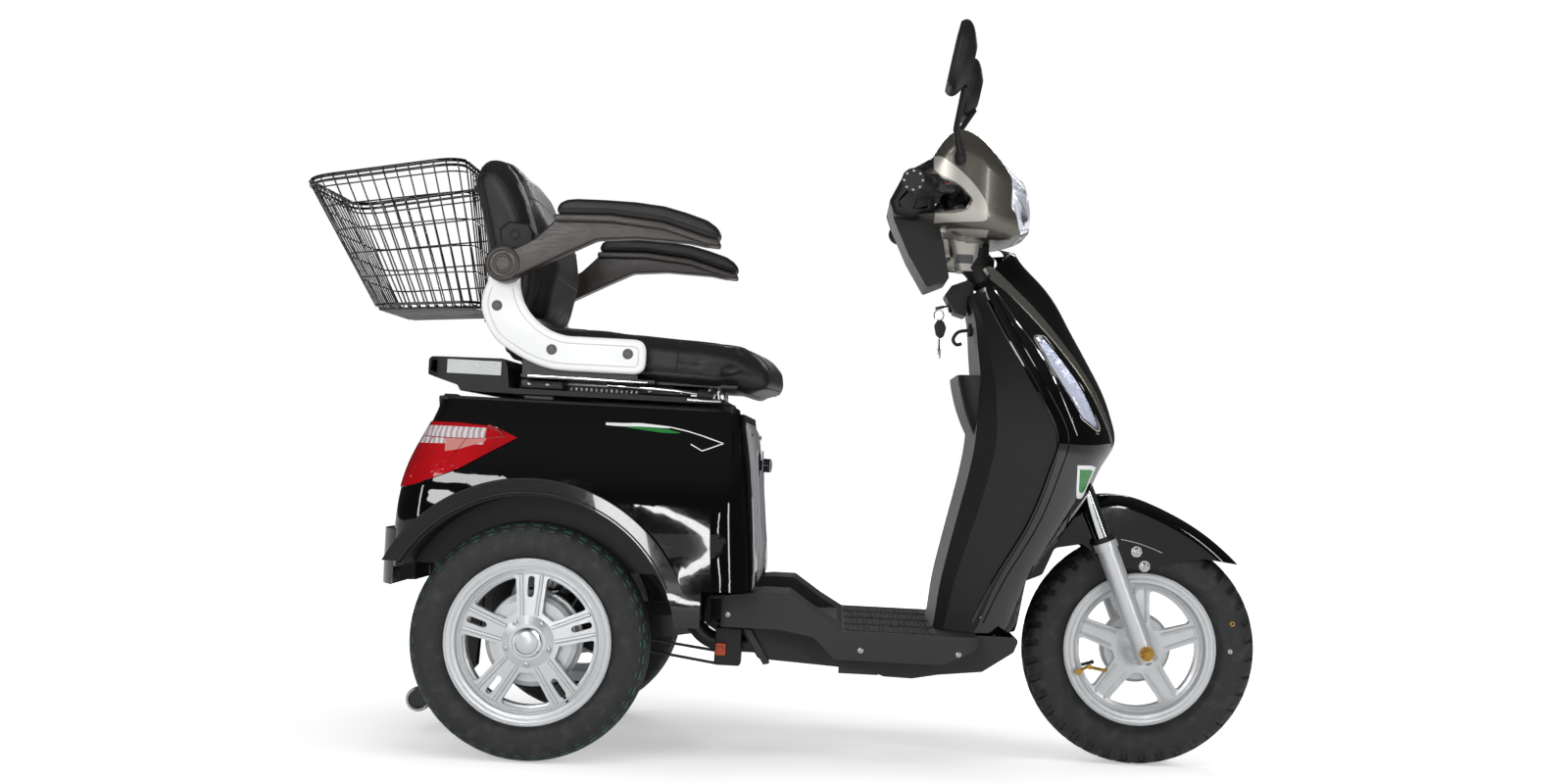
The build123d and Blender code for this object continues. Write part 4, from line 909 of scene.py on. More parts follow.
def build_basket(sizes):
    count = 104                       # points round a loop; every second one carries an upright wire
    thin = sizes.basket_wire / 2
    wires = []
    loops = {s: basket_loop(s, count) for s in (0.0, 0.04, 0.24, 0.42, 0.6, 0.78, 0.92, 1.0)}
    for share, loop in loops.items():
        if 0.04 < share < 1:
            wires.append(pipe(loop, thin, 6, loop=True))
    rim = pipe(basket_loop(1.0, count, -3.6), 3.4, 10, loop=True)
    second = pipe([p + Vector((0, 0, -9)) for p in basket_loop(1.0, count, -3.0)], 2.6, 8, loop=True)
    floor_ring = pipe(basket_loop(0.03, count, -2.0), 2.6, 8, loop=True)
    for k in range(0, count, 2):
        low, knee = loops[0.0][k], loops[0.04][k]
        middle_low = Vector((XR - 246, 0, 771))
        turned = low.lerp(middle_low, 0.06) + Vector((0, 0, 1.5))
        top = loops[1.0][k]
        wires.append(pipe([turned, knee, loops[0.42][k], loops[0.78][k], top], thin, 6))
    base = basket_loop(0.0, 240, -3)
    tilt = math.tan(math.radians(4.5))
    for step in range(-5, 6):
        x = XR - 246 + step * 16.5
        ys = [p.y for p in base if abs(p.x - x) < 4]
        z = 773 + (x - XR + 246) * tilt
        wires.append(pipe([(x, min(ys), z), (x, max(ys), z)], thin, 6))
    for step in range(-9, 10):
        y = step * 13.2
        xs = [p.x for p in base if abs(p.y - y) < 4]
        z = [770.5 + (x - XR + 246) * tilt for x in (min(xs), max(xs))]
        wires.append(pipe([(min(xs), y, z[0]), (max(xs), y, z[1])], thin, 6))
    hook = []
    for y in (-80, 80):
        hook.append(pipe([(XR - 178, y - 12, 1008), (XR - 168, y - 12, 1000), (XR - 166, y, 990),
                          (XR - 168, y + 12, 1000), (XR - 178, y + 12, 1008)], 2.4, 8))
    piece("basket_cage", joined(rim, second, floor_ring, *wires, *hook), "steel_wire_vinyl_dipped", "seat",
          ["basket"], 60)


# ------------------------ upholstery
def smoothstep(low, high, value):
    t = min(max((value - low) / (high - low), 0.0), 1.0)
    return t * t * (3 - 2 * t)


def welt(name, starts, way, radius, lift=0.0, count=60, loop=False):
    """Sewn welt that lies on a piece below a line of starting points."""
    spots = []
    for p in (even(starts, count) if len(starts) < count else starts):
        hit = cast(name, p, way)
        if hit:
            spots.append(hit[0] + hit[1] * lift)
    return pipe(spots, radius, 8, loop=loop)


def seat_outline(count=96):
    points = rear([
        (-98, 697), (-94, 714), (-60, 722), (10, 734), (90, 732), (165, 727.5), (270, 722), (336, 716),
        (378, 702), (399, 680), (402, 656), (393, 646), (372, 646), (326, 658), (150, 658.5), (-50, 659),
        (-60, 689), (-90, 690),
    ])
    return closed_line(rounded(points, 12, 6), count)


def seat_shape():
    half = 215

    def warp(p):
        x = p.x - XR
        share = p.y / half
        front = smoothstep(250, 402, x)
        p.y *= 1 - 0.10 * front * front - 0.03 * smoothstep(60, -98, x)
        if p.z > 690:
            p.z += 5.0 * (1 - share * share) * smoothstep(402, 320, x) - 3.5 * abs(share) ** 6
        if x > 330:
            p.x -= 22 * share * share
        return p

    return puffed(seat_outline(), -half, half, 20, steps=5, sections=14, warp=warp)


def back_shape():
    bolster = even(rounded(rear([
        (-156, 1008), (-149, 1030), (-134, 1038), (-110, 1033), (-88, 1006), (-68, 957), (-51, 900),
        (-52, 820), (-59, 756), (-97, 763), (-125, 880)]), 9, 6), 90, closed=True)
    centre = even(rounded(rear([
        (-154, 1006), (-148, 1030), (-131, 1040), (-107, 1037), (-80, 1004), (-60, 964), (-26, 905),
        (-17, 850), (-34, 755), (-95, 757), (-124, 880)]), 9, 6), 90, closed=True)
    half, edge = 212, 22              # half its width, and the radius of its side edges
    turns = [math.pi / 2 * s / 6 for s in range(7)]
    left = [(half - edge * (1 - math.cos(a)), edge * (1 - math.sin(a))) for a in turns]
    left += [(y, 0.0) for y in (176, 164, 152, 140, 126, 110, 88, 60, 30)]
    rings = []
    for y, d in left + [(0, 0.0)] + [(-y, d) for y, d in reversed(left)]:
        share = smoothstep(172, 118, abs(y))
        mix = [b.lerp(c, share) for b, c in zip(bolster, centre)]
        groove = 3.0 * math.exp(-((abs(y) - 158) / 7) ** 2)
        line = inset(mix, d + groove)
        # the top corners fall away
        drop = 20 * smoothstep(150, 212, abs(y)) ** 2
        line = [Vector((p.x, p.y - drop * smoothstep(940, 1040, p.y))) for p in line]
        rings.append([Vector((p.x, y, p.y)) for p in line])
    return skinned(rings)


def build_upholstery(sizes):
    seat = piece("seat_cushion_cover", seat_shape(), "leatherette_embossed", "seat",
                 ["seat_cushion"], 180)
    inflated(seat, sizes.seat_swell, pressure=3.0, voxel=6.0)
    back = piece("backrest_cover", back_shape(), "leatherette_embossed", "seat",
                 ["backrest"], 180)
    inflated(back, sizes.seat_swell * 0.7, pressure=2.5, voxel=6.0)
    r = sizes.welt / 2
    name = "seat_cushion_cover"
    welts = []
    for side in (1, -1):
        low = [Vector((XR + x, side * 400, z)) for x, z in (
            (-84, 696), (-20, 684), (70, 679), (165, 677), (243, 673), (316, 667), (366, 656), (386, 652))]
        welts.append(welt(name, low, (0, -side, 0), r, 0.5))
        rise = [Vector((XR + 216, side * 400, z)) for z in (676, 690, 705, 714)]
        welts.append(welt(name, rise, (0, -side, 0), r * 0.8, 0.1, 16))
        top = [Vector((XR + x, side * (176 - 22 * smoothstep(250, 380, x)), 900)) for x in range(-80, 386, 8)]
        welts.append(welt(name, top, (0, 0, -1), r, 0.1, 60))
    for x, reach in ((216, 204), (40, 172)):
        across = [Vector((XR + x, y, 900)) for y in range(-reach, reach + 1, 12)]
        welts.append(welt(name, across, (0, 0, -1), r * 0.8, -0.3, 60))
    nose = [Vector((XR + 700, y, 655)) for y in range(-170, 171, 10)]
    welts.append(welt(name, nose, (-1, 0, 0), r, 0.1, 60))
    piece("seat_welts", joined(*welts), "leatherette_embossed", "seat", (), 180)
    name = "backrest_cover"
    welts = []
    for side in (1, -1):
        rise = [Vector((XR + 300, side * 157, z)) for z in range(762, 1032, 8)]
        welts.append(welt(name, rise, (-1, 0, 0), r, -0.6, 50))
        rim = inset(rounded(rear([
            (-156, 1000), (-146, 1012), (-134, 1014), (-110, 1008), (-88, 985), (-68, 940), (-52, 890),
            (-52, 820), (-60, 758), (-95, 766), (-124, 880)]), 10, 4), 9)
        line = [Vector((p.x, side * 400, p.y)) for p in closed_line(rim, 70)]
        welts.append(welt(name, line, (0, -side, 0), r, 0.1, loop=True))
    for z in (836, 905, 972):
        level = [Vector((XR + 300, y, z)) for y in range(-154, 155, 10)]
        welts.append(welt(name, level, (-1, 0, 0), r * 0.8, -0.5, 50))
    piece("backrest_welts", joined(*welts), "leatherette_embossed", "seat", (), 180)
    line = rounded(rear([(-98, 874), (-104, 905), (-88, 920), (-52, 918), (-42, 902), (-46, 866)]), 9, 5)
    shell = puffed(line, 205, 223.5, 5)
    cap = lathe([(-2, 9), (0, 9), (0.8, 8), (0.8, 6.6), (-0.6, 6.2), (-0.6, 0)], (XR - 75, 223.5, 897),
                (0, 1, 0), 28)
    piece("recliner_covers", paired(joined(shell, cap)), "abs_spark_textured", "seat")
    # bright edge of the seat pan and posts under the front of the cushion
    edge = brick((XR - 40, 225.6, 650.6), (XR + 168, 227.4, 655), 0.6)
    piece("pan_edges", paired(edge), "steel_chromed", "seat")
    posts = [lathe([(0, 6.5), (2.5, 6.5), (2.5, 4.6), (19, 4.6), (19, 7), (22.4, 7)],
                   (XR + x, side * 104, 632.8), (0, 0, 1), 20) for side in (1, -1) for x in (266, 283)]
    piece("seat_posts", joined(*posts), "steel_chromed", "seat")
    lever = pipe(spline([(XR + 96, -196, 645), (XR + 150, -214, 643), (XR + 216, -219, 641),
                         (XR + 262, -216, 637)], 30), 3.4, 12)
    knob = lathe([(-14, 5), (-12, 7), (8, 7.6), (14, 6), (15.5, 3), (15.8, 0)], (XR + 268, -215.6, 636.5),
                 (1, 0.05, -0.09), 20)
    piece("slide_lever", lever, "steel_chromed", "seat")
    piece("slide_lever_knob", knob, "rubber_moulded", "seat")


# ------------------------ armrests
ARM_FACE = 240.5     # inner face of an armrest's hub
PIVOT = (-83, 840)


def build_armrests(sizes):
    pad_low = [(8, 927), (98, 930.5), (188, 922.5), (264, 900.5), (272, 897.5)]
    arm_line = rounded(rear(
        [(-100, 826), (-66, 817), (-20, 841), (30, 867), (74, 889), (142, 895), (232, 892), (262, 887),
         (278, 889),
         (277, 894), (264, 898)] + [(x, z - 1) for x, z in reversed(pad_low[:-2])]
        + [(-4, 912), (-30, 886), (-62, 868), (-98, 852)]), 16, 7)
    tray_line = rounded(rear([(2, 915.5), (98, 918.5), (188, 910.5), (262, 889), (284, 887), (284, 898.5),
                              (265, 901.2), (188, 923), (98, 931), (2, 927.5)]), 4, 4)
    pad_line = rounded(rear(
        pad_low[:3] + [(264, 900.5), (279, 898), (284, 903), (284, 912), (277, 920), (262, 929.5), (228, 940),
                       (189, 949.5), (140, 954), (88, 955), (40, 954.5), (22, 952), (11, 946), (6, 936)]), 9,
                       5)
    arm = puffed(closed_line(arm_line, 150), ARM_FACE + 4, ARM_FACE + 38, 3.5, steps=4)
    tray = puffed(closed_line(tray_line, 150), ARM_FACE - 6, ARM_FACE + 50, 3.5, steps=4)
    hub_at = (XR + PIVOT[0], ARM_FACE, PIVOT[1])
    hub = lathe([(0, 8.4), (0, 30), (1.5, 31), (34, 31), (38, 29.6), (39.8, 27), (40, 24.4), (38.6, 22.6),
                 (37.2, 22.2), (37.2, 17.6), (37.2, 0)], hub_at, (0, 1, 0), 72)
    disc = lathe([(37, 17.2), (38.6, 17), (39.6, 15.6), (39.6, 12.6), (38.2, 11), (38, 0)], hub_at, (0, 1, 0),
                 56)

    def crown(p):
        share = (p.y - ARM_FACE - 22) / 30
        if p.z > 905:
            p.z += 1.6 * (1 - share * share)
        return p

    pad = puffed(closed_line(pad_line, 120), ARM_FACE - 8, ARM_FACE + 52, 7.5, steps=6, sections=5,
                 warp=crown)
    for side, name in SIDES:
        body = f"arm_{name}"
        piece(f"armrest_shell_{name}", sided(joined(arm, tray, hub), side), "nylon_moulded_streaked", body,
              [f"armrest_{name}"], 45)
        piece(f"hub_disc_{name}", sided(disc, side), "nylon_moulded_streaked", body)
        cover = piece(f"arm_pad_cover_{name}", sided(pad, side), "leatherette_embossed", body,
                      [f"arm_pad_{name}"], 180)
        lines = []
        for face in (1, -1):
            line = [Vector((XR + x, side * (ARM_FACE + 22 + face * 200), z + 8.5)) for x, z in (
                (12, 928), (98, 930.5), (188, 922.5), (240, 908), (278, 897))]
            lines.append(welt(cover.name, line, (0, -side * face, 0), sizes.welt / 2, 0.0, 50))
        piece(f"arm_pad_welt_{name}", joined(*lines), "leatherette_embossed", body, (),
              180)
    under = spline(rear([(-116, 812), (-124, 786), (-122, 758), (-101, 718), (-66, 692), (-30, 675),
                         (2, 666.5), (36, 664.5)]), 36)
    foot = rounded(rear([(60, 664.5), (164, 664.5), (164, 725), (60, 725)]), 23, 7)[8:-8]
    over = spline(rear([(44, 725), (22, 726), (-4, 734), (-28, 750), (-48, 774), (-58, 802), (-60, 826)]), 30)
    ends = [Vector(p) for p in rear([(-113, 838), (-60, 838)])]
    bracket_line = ends[:1] + under + foot + over + ends[1:]
    back, face = 226, 240
    shell = joined(puffed(bracket_line, back, face, 6, steps=7),
                   lathe([(0, 26), (14, 27), (14, 8)], (XR + PIVOT[0], back, PIVOT[1]), (0, 1, 0), 48,
                         caps=False))
    inner = closed_line(inset(bracket_line, 12.5), 150)
    bead = pipe([Vector((p.x, face, p.y)) for p in inner if p.y < 806], 0.9, 6)
    caps = [lathe([(-1, 9.4), (0.2, 9.2), (0.2, 7.8), (1.6, 7.2), (2.4, 5.4), (2.6, 0)],
                  (XR + x, face, z), (0, 1, 0), 32) for x, z in ((-96.7, 771), (1.4, 700), (133, 699))]
    piece("bracket_covers", paired(shell), "abs_white_moulded", "seat", ["seat_brackets"],
          50)
    piece("bracket_lines", paired(bead), "abs_white_shade", "seat")
    piece("bracket_caps", paired(joined(*caps)), "abs_grey_dark_moulded", "seat")


# ------------------------ lamps
def build_lamps():
    bowl = [(0, 54), (-3, 52), (-14, 44), (-24, 32), (-31, 18), (-34, 7), (-34, 0)]
    tilt = Vector((math.cos(math.radians(18)), 0, math.sin(math.radians(18))))
    main_at = Vector((XF - 304, 0, 1024))
    parts = [lathe(bowl, main_at, tilt, 56, caps=False)]
    bulb = [lathe([(-30, 6), (-16, 6), (-8, 5), (-3, 2.5), (-2, 0)], main_at, tilt, 20)]
    amber = []
    for side in (1, -1):
        at = Vector((XF - 318, side * 84, 1040))
        parts.append(lathe([(0, 26), (-4, 25), (-12, 18), (-17, 8), (-18, 0)], at,
                           tilt + Vector((0, side * 0.35, 0)), 40, caps=False))
        amber.append(lathe([(-16, 5), (-6, 5), (-2, 3), (-1, 0)], at, tilt + Vector((0, side * 0.35, 0)), 20))
        side_at = Vector((XF - 306, side * 58, 992))
        parts.append(lathe([(0, 22), (-4, 21), (-12, 14), (-15, 0)], side_at,
                           tilt + Vector((0, side * 0.2, 0)), 36, caps=False))
    piece("headlight_bowls", joined(*parts), "aluminium_vacuum_coated", "steering")
    piece("headlight_bulb", joined(*bulb), "polycarbonate_clear_moulded", "steering")
    piece("turn_bulbs", joined(*amber), "acrylic_amber_moulded", "steering")
    # bezel that follows the lens 24 mm behind it, deeper round the bowl
    rows = []
    for i in range(15):
        z = 968 + 122 * i / 14
        row = []
        for j in range(25):
            y = -108 + 9 * j
            hit = cast("headlight_lens", (XF + 100, y, z), (-1, 0, 0))
            hollow = 26 * math.exp(-((y / 50) ** 2 + ((z - 1024) / 42) ** 2))    # room for the bowl
            row.append(Vector((hit[0].x - 24 - hollow, y * 0.93, z - 3)) if hit else None)
        rows.append(row)
    verts, faces, index = [], [], {}
    for i, row in enumerate(rows):
        for j, p in enumerate(row):
            if p is not None:
                index[i, j] = len(verts)
                verts.append(p)
    for i in range(14):
        for j in range(24):
            corners = [(i, j), (i, j + 1), (i + 1, j + 1), (i + 1, j)]
            if all(c in index for c in corners):
                faces.append(tuple(index[c] for c in corners))
    piece("headlight_bezel", (verts, faces), "abs_silver_painted", "steering")
    edge = []
    for side, name in SIDES:
        a = front([(-236, 771), (-219, 771), (-152, 684), (-112, 607)])
        b = front([(-234, 764), (-205, 706), (-156, 637), (-114, 606)])
        inner = patch("side_lamps", a, b, side, lift=-10, across=5, along=30, sunk=1)
        piece(f"side_lamp_reflector_{name}", inner, "aluminium_vacuum_coated", "chassis")
        outline = rounded(front([(-240, 775), (-218, 775), (-150, 686), (-108, 604), (-150, 630),
                                 (-202, 705)]), 7, 5)
        ring = [landed("front_apron", p.x, p.y, side) or landed("side_lamps", p.x, p.y,
                                                                side) for p in inset(outline, -1.5)]
        edge.append(pipe([h[0] for h in ring if h], 1.1, 6, loop=True))
    piece("side_lamp_frames", joined(*edge), "abs_silver_painted", "chassis")
    # red and clear parts of the tail lamps are parted by thin ribs
    ribs = [lines_on("tail_lights", rear(line), 0.9, 0.0, 30, 6) for line in (
        [(-240, 541), (-170, 539), (-110, 540), (-62, 546)],
        [(-186, 540), (-196, 516), (-212, 470)],
        [(-128, 540), (-150, 500)])]
    pale = patches("tail_lights", rear([(-163, 538), (-130, 538), (-94, 542)]),
                   rear([(-160, 516), (-138, 520), (-96, 536)]), lift=0.5, across=4, along=16, smooth=False,
                   sunk=0.5)
    piece("tail_lamp_pale", pale, "acrylic_pink_moulded", "chassis")
    band = rear([(-236, 564), (-200, 566.5), (-150, 567), (-106, 565), (-68, 551)])
    ribs.append(lines_on("tail_lights", band, 3.2, 0.0, 40, 8))
    piece("tail_lamp_ribs", joined(*ribs), "acrylic_red_reflector", "chassis")
    plate_lamp = joined(
        brick((XR - 283, -34, 384), (XR - 262, 34, 398), 3),
        brick((XR - 284, -30, 392), (XR - 266, 30, 401), 3))
    piece("plate_lamp", plate_lamp, "abs_spark_textured", "chassis")
    discs = [lathe([(0, 24), (3, 24), (4.5, 22), (4.5, 0)], (XR - 262, y, 337), (-1, 0, 0), 40)
             for y in (-150, 150)]
    piece("rear_reflectors", joined(*discs), "acrylic_red_reflector", "chassis")


# ------------------------ trims
def build_trims():
    left = front([(-332, 893), (-316, 875), (-278, 849), (-226, 797), (-179, 745), (-143, 697), (-95, 617),
                  (-82, 584)])
    right = front([(-320, 900), (-296, 886), (-239, 835), (-192, 782), (-144, 719), (-97, 639), (-80, 592)])
    piece("apron_strips", patches("front_apron", left, right, lift=1.1, across=4, along=60),
          "aluminium_anodised_brushed", "chassis")
    # painted highlight: a chrome bead along the apron's crease stands in for the highlight that runs along
    # that edge
    crease = front([(-312, 861), (-276, 806), (-222, 731), (-178, 640), (-160, 600)])
    piece("painted_highlight_beads", lines_on("front_apron", crease, 1.3, 0.2, 70), "steel_chromed", "chassis")
    lip = front([(-50, 418), (-12, 410.5), (27, 397)])
    piece("mudguard_lines", lines_on("front_mudguard", lip, 1.2, 0.3, 24), "steel_chromed", "steering")
    seams = []
    for node, ahead, radius, behind in (("leg_shield", 0, 3.2, 6), ("front_apron", 13, 1.6, 0)):
        seam = front([(x + ahead, z) for x, z in (
            (-318, 262), (-285, 340), (-233, 440), (-202, 530), (-190, 600), (-237, 690), (-288, 780),
            (-318, 840))])
        seams.append(lines_on(node, seam, radius, 0.4, 90, 8, behind))
    piece("shield_beads", joined(*seams), "abs_gloss_lacquered", "chassis")
    beads = []
    for reach, low, high in ((253, 24, 158), (275, 30, 150)):
        arc = [polar((XR, ZR), reach, t) for t in range(low, high, 6)]
        beads.append(lines_on("rear_body", arc, 1.5, 0.0, 80, 6))
    piece("arch_beads", joined(*beads), "abs_gloss_lacquered", "chassis")
    outer = front([(-431, 1086), (-418, 1084), (-388, 1064), (-357, 1036), (-336, 1008), (-333, 989),
                   (-336, 976), (-380, 972), (-425, 970)])
    inner = front([(-431, 1062), (-418, 1052), (-386, 1036), (-361, 1013), (-362, 1004), (-364, 998),
                   (-370, 992), (-390, 986), (-425, 985)])
    piece("cowl_horseshoes", patches("head_cowl", outer, inner, lift=1.2, across=5, along=70),
          "abs_silver_painted", "steering")
    darks = patches("head_cowl", front([(-484, 1056), (-460, 1070), (-433, 1086)]),
                    front([(-484, 1036), (-460, 1056), (-433, 1066)]), lift=0.8, across=5, along=14)
    piece("cowl_dark_cheeks", darks, "abs_spark_textured", "steering")
    necks = patches("head_cowl", front([(-413, 961), (-402, 930), (-390, 898)]),
                    front([(-327, 961), (-334, 930), (-343, 898)]), lift=0.6, across=10, along=24)
    piece("neck_panels", necks, "abs_silver_painted", "steering")
    slots = patches("head_cowl", front([(-376, 927), (-345, 927)]), front([(-376, 911), (-345, 911)]),
                    lift=1.0, across=3, along=8, smooth=False)
    piece("neck_slots", slots, "abs_grey_dark_moulded", "steering")
    # plain film stripes in place of lettering
    whites = [patches("rear_body", rear([(103, 579), (135, 579.5), (163, 580.5), (213, 577)]),
                      rear([(103, 574.5), (135, 574), (163, 575), (213, 574.6)]),
                      lift=0.35, across=3, along=30, sunk=0.4)]
    half = 0.9
    for line in ([(163, 580), (213, 576.8), (245, 571), (271, 564.3), (307.6, 553)],
                 [(307.6, 553), (272.8, 538.5), (252.4, 549)]):
        middle_line = even(rear(line), 24)
        whites.append(patches("rear_body", [(p.x, p.y + half) for p in middle_line],
                              [(p.x, p.y - half) for p in middle_line],
                              lift=0.4, across=2, along=24, smooth=False, sunk=0.4))
    greens = [patches("rear_body", rear([(140, 573.6), (175, 574.4), (205, 573), (232, 568)]),
                      rear([(140, 572.4), (172, 569), (205, 566.5), (232, 567)]),
                      lift=0.35, across=3, along=24, sunk=0.4)]
    badge = [(-156, 548), (-126, 549), (-116, 546), (-140, 489), (-153, 490)]
    whites.append(filled("front_apron", front(badge), lift=0.5))
    cx = sum(p[0] for p in badge) / len(badge)
    cz = sum(p[1] for p in badge) / len(badge)
    smaller = [(cx + (x - cx) * 0.7, cz + (z - cz) * 0.7) for x, z in badge]
    greens.append(filled("front_apron", front(smaller), lift=0.9))
    piece("decals_white", joined(*whites), "vinyl_film_white", "chassis")
    piece("decals_green", joined(*greens), "vinyl_film_green", "chassis")


# ------------------------ fittings
def screw(at, axis, radius=4.5, height=2.2):
    """Pan-head screw with a cross recess suggested by its stepped crown."""
    return lathe([(-3, radius * 0.6), (0, radius * 0.6), (0, radius), (height * 0.5, radius * 0.97),
                  (height, radius * 0.6), (height, radius * 0.36), (height * 0.55, radius * 0.3),
                  (height * 0.55, 0)],
                 at, axis, 24)


def build_body_fittings():
    latch = joined(
        puffed(rounded(rear([(-197, 612), (-195, 592), (-190, 572), (-174, 570), (-170, 590), (-160, 606),
                             (-160, 613)]), 4, 4), 168, 206, 3),
        brick((XR - 190, 176, 606), (XR - 166, 198, 616), 2))
    piece("lid_latches", paired(latch), "abs_spark_textured", "chassis")
    rail = joined(
        brick((XR - 68, 132, 643.6), (XR + 208, 134.4, 647.6), 0.8),
        *[brick((XR + 20 + 9 * k, 132, 634), (XR + 24.5 + 9 * k, 135.6, 640.6), 0.7) for k in range(17)])
    piece("rail_edges", paired(rail), "steel_zinc_plated", "seat_lid")
    carriage = joined(
        brick((XR - 62, 136, 632.5), (XR + 14, 176, 649), 2.5),
        brick((XR - 50, 150, 612), (XR + 4, 203, 621), 2.5),
        brick((XR + 150, 150, 633), (XR + 238, 172, 645), 2))
    piece("seat_carriages", paired(carriage), "steel_powder_coated", "seat_lid")
    leaf = [screw((XR + x, 203, 626.5), (0, 1, 0), 3.2) for x in (250, 268, 286)]
    leaf.append(brick((XR + 236, 204.6, 624.4), (XR + 296, 206.2, 628.6), 0.6))
    piece("lid_hinge_leaves", paired(joined(*leaf)), "steel_zinc_plated", "seat_lid")
    screws = [screw((XR - 182, 206, 592), (0, 1, 0))]
    for x, y, z in ((-46, 176, 641), (-14, 176, 641), (166, 172, 639), (222, 172, 639)):
        screws.append(screw((XR + x, y, z), (0, 1, 0), 4.0))
    piece("fitting_screws", paired(joined(*screws)), "steel_zinc_plated", "seat_lid")
    seal = rounded([(XR - 190, -206), (XR + 298, -206), (XR + 298, 206), (XR - 190, 206)], 24, 6)
    piece("lid_seal", pipe([Vector((p.x, p.y, 609)) for p in closed_line(seal, 160)], 4.2, 8, loop=True),
          "rubber_moulded", "seat_lid")
    cover = []
    for y in (-172, 172):
        for z in (330, 570):
            cover.append(screw((XR + (372 if z < 400 else 351), y * 0.94, z), (1, 0, 0.05), 5))
    knob = []
    for k in range(4):
        a = math.radians(45 + 90 * k)
        knob.append(lathe([(-12, 6.4), (-1, 6.4), (2, 5), (3, 0)],
                          (XR + 379, 9 * math.cos(a), 518 + 9 * math.sin(a)), (1, 0, 0), 20))
    knob.append(lathe([(-30, 10), (-16, 10), (-14, 9), (1.5, 9), (3.4, 6), (3.6, 0)], (XR + 379, 0, 518),
                      (1, 0, 0), 32))
    knob.append(lathe([(0, 22), (2.6, 22), (3.2, 20), (3.2, 9)], (XR + 357, 0, 518), (1, 0, 0), 40,
                      caps=False))
    piece("cover_knob", joined(*knob), "abs_spark_textured", "chassis")
    piece("cover_screws", joined(*cover), "steel_zinc_plated", "chassis")
    ribs = [pipe([(XR + 359, side * 120, 545), (XR + 364.5, side * 120, 470), (XR + 371, side * 120, 405),
                  (XR + 374.5, side * 120, 375), (XR + 372, side * 120, 320)], 1.6, 8) for side in (1, -1)]
    piece("cover_ribs", joined(*ribs), "abs_grey_moulded", "chassis")
    collar = lathe([(-1, 17), (2, 16.6), (3, 14.6), (3, 0)], (XF - 372, 0, 835.6), (-0.92, 0, -0.24), 36)
    piece("lock_collar", collar, "steel_zinc_plated", "chassis")
    ring = [(XF - 401 + 9 * math.sin(t), 9 * math.cos(t) * 0.35, 815 + 10 * math.cos(t)) for t in
            (2 * math.pi * k / 30 for k in range(30))]
    fob = puffed(rounded([(XF - 409, 796), (XF - 402, 807), (XF - 392, 805), (XF - 386, 792), (XF - 390, 776),
                          (XF - 397, 771), (XF - 405, 778)], 7, 5),
                 -4, 4, 2.5)
    blade = brick((XF - 400, -1.2, 735), (XF - 394, 1.2, 774), 0.8)
    piece("key_ring", joined(pipe(ring, 1.0, 8, loop=True), blade), "steel_chromed", "chassis")
    piece("key_fob", fob, "rubber_moulded", "chassis")
    hook = joined(
        pipe(spline([(XF - 338, 0, 790), (XF - 362, 0, 786), (XF - 372, 0, 772), (XF - 366, 0, 762),
                     (XF - 356, 0, 764)], 30), 3.2, 10),
        puffed(rounded(front([(-339, 778), (-339, 802), (-346, 802), (-346, 778)]), 2, 3), -12, 12, 1.5))
    piece("bag_hook", hook, "abs_spark_textured", "chassis")


def build_floor_studs(sizes):
    studs = []
    pitch = sizes.stud_pitch
    top = 243.0                       # of the floor
    seams, gap = 128, 7               # the studs leave the raised seams of the mat free
    row = 0
    x = 538.0
    while x < 682:
        shift = pitch / 2 if row % 2 else 0
        y = -236 + shift
        while y <= 236:
            if abs(abs(y) - seams) > gap and abs(y) >= 12:
                verts, faces = [], []
                for radius, height in ((3.3, -0.4), (3.0, 0.7), (1.7, 1.5)):
                    for k in range(8):
                        t = math.pi * k / 4
                        verts.append((XR + x + radius * math.cos(t), y + radius * math.sin(t), top + height))
                for ring in range(2):
                    for k in range(8):
                        a, b = ring * 8 + k, ring * 8 + (k + 1) % 8
                        faces.append((a, b, b + 8, a + 8))
                faces.append(tuple(range(16, 24)))
                studs.append((verts, faces))
            y += pitch
        x += pitch * 0.87
        row += 1
    border = []
    for y0, y1 in ((-244, -134), (134, 244), (-121, -5), (5, 121)):
        loop = rounded([(XR + 531, y0), (XR + 690, y0), (XR + 690, y1), (XR + 531, y1)], 10, 4)
        border.append(pipe([Vector((p.x, p.y, top + 0.2)) for p in loop], 1.4, 6, loop=True))
    piece("floor_studs", joined(*studs, *border), "abs_spark_textured_worn", "chassis")
    bolts = []
    for side in (1, -1):
        for x, z in ((728, 213.7), (560, 212), (330, 262)):
            hit = landed("footboard", XR + x, z, side)
            if hit:
                bolts.append(screw(hit[0], hit[1], 5.2, 2.4))
    piece("floor_bolts", joined(*bolts), "steel_zinc_plated", "chassis")


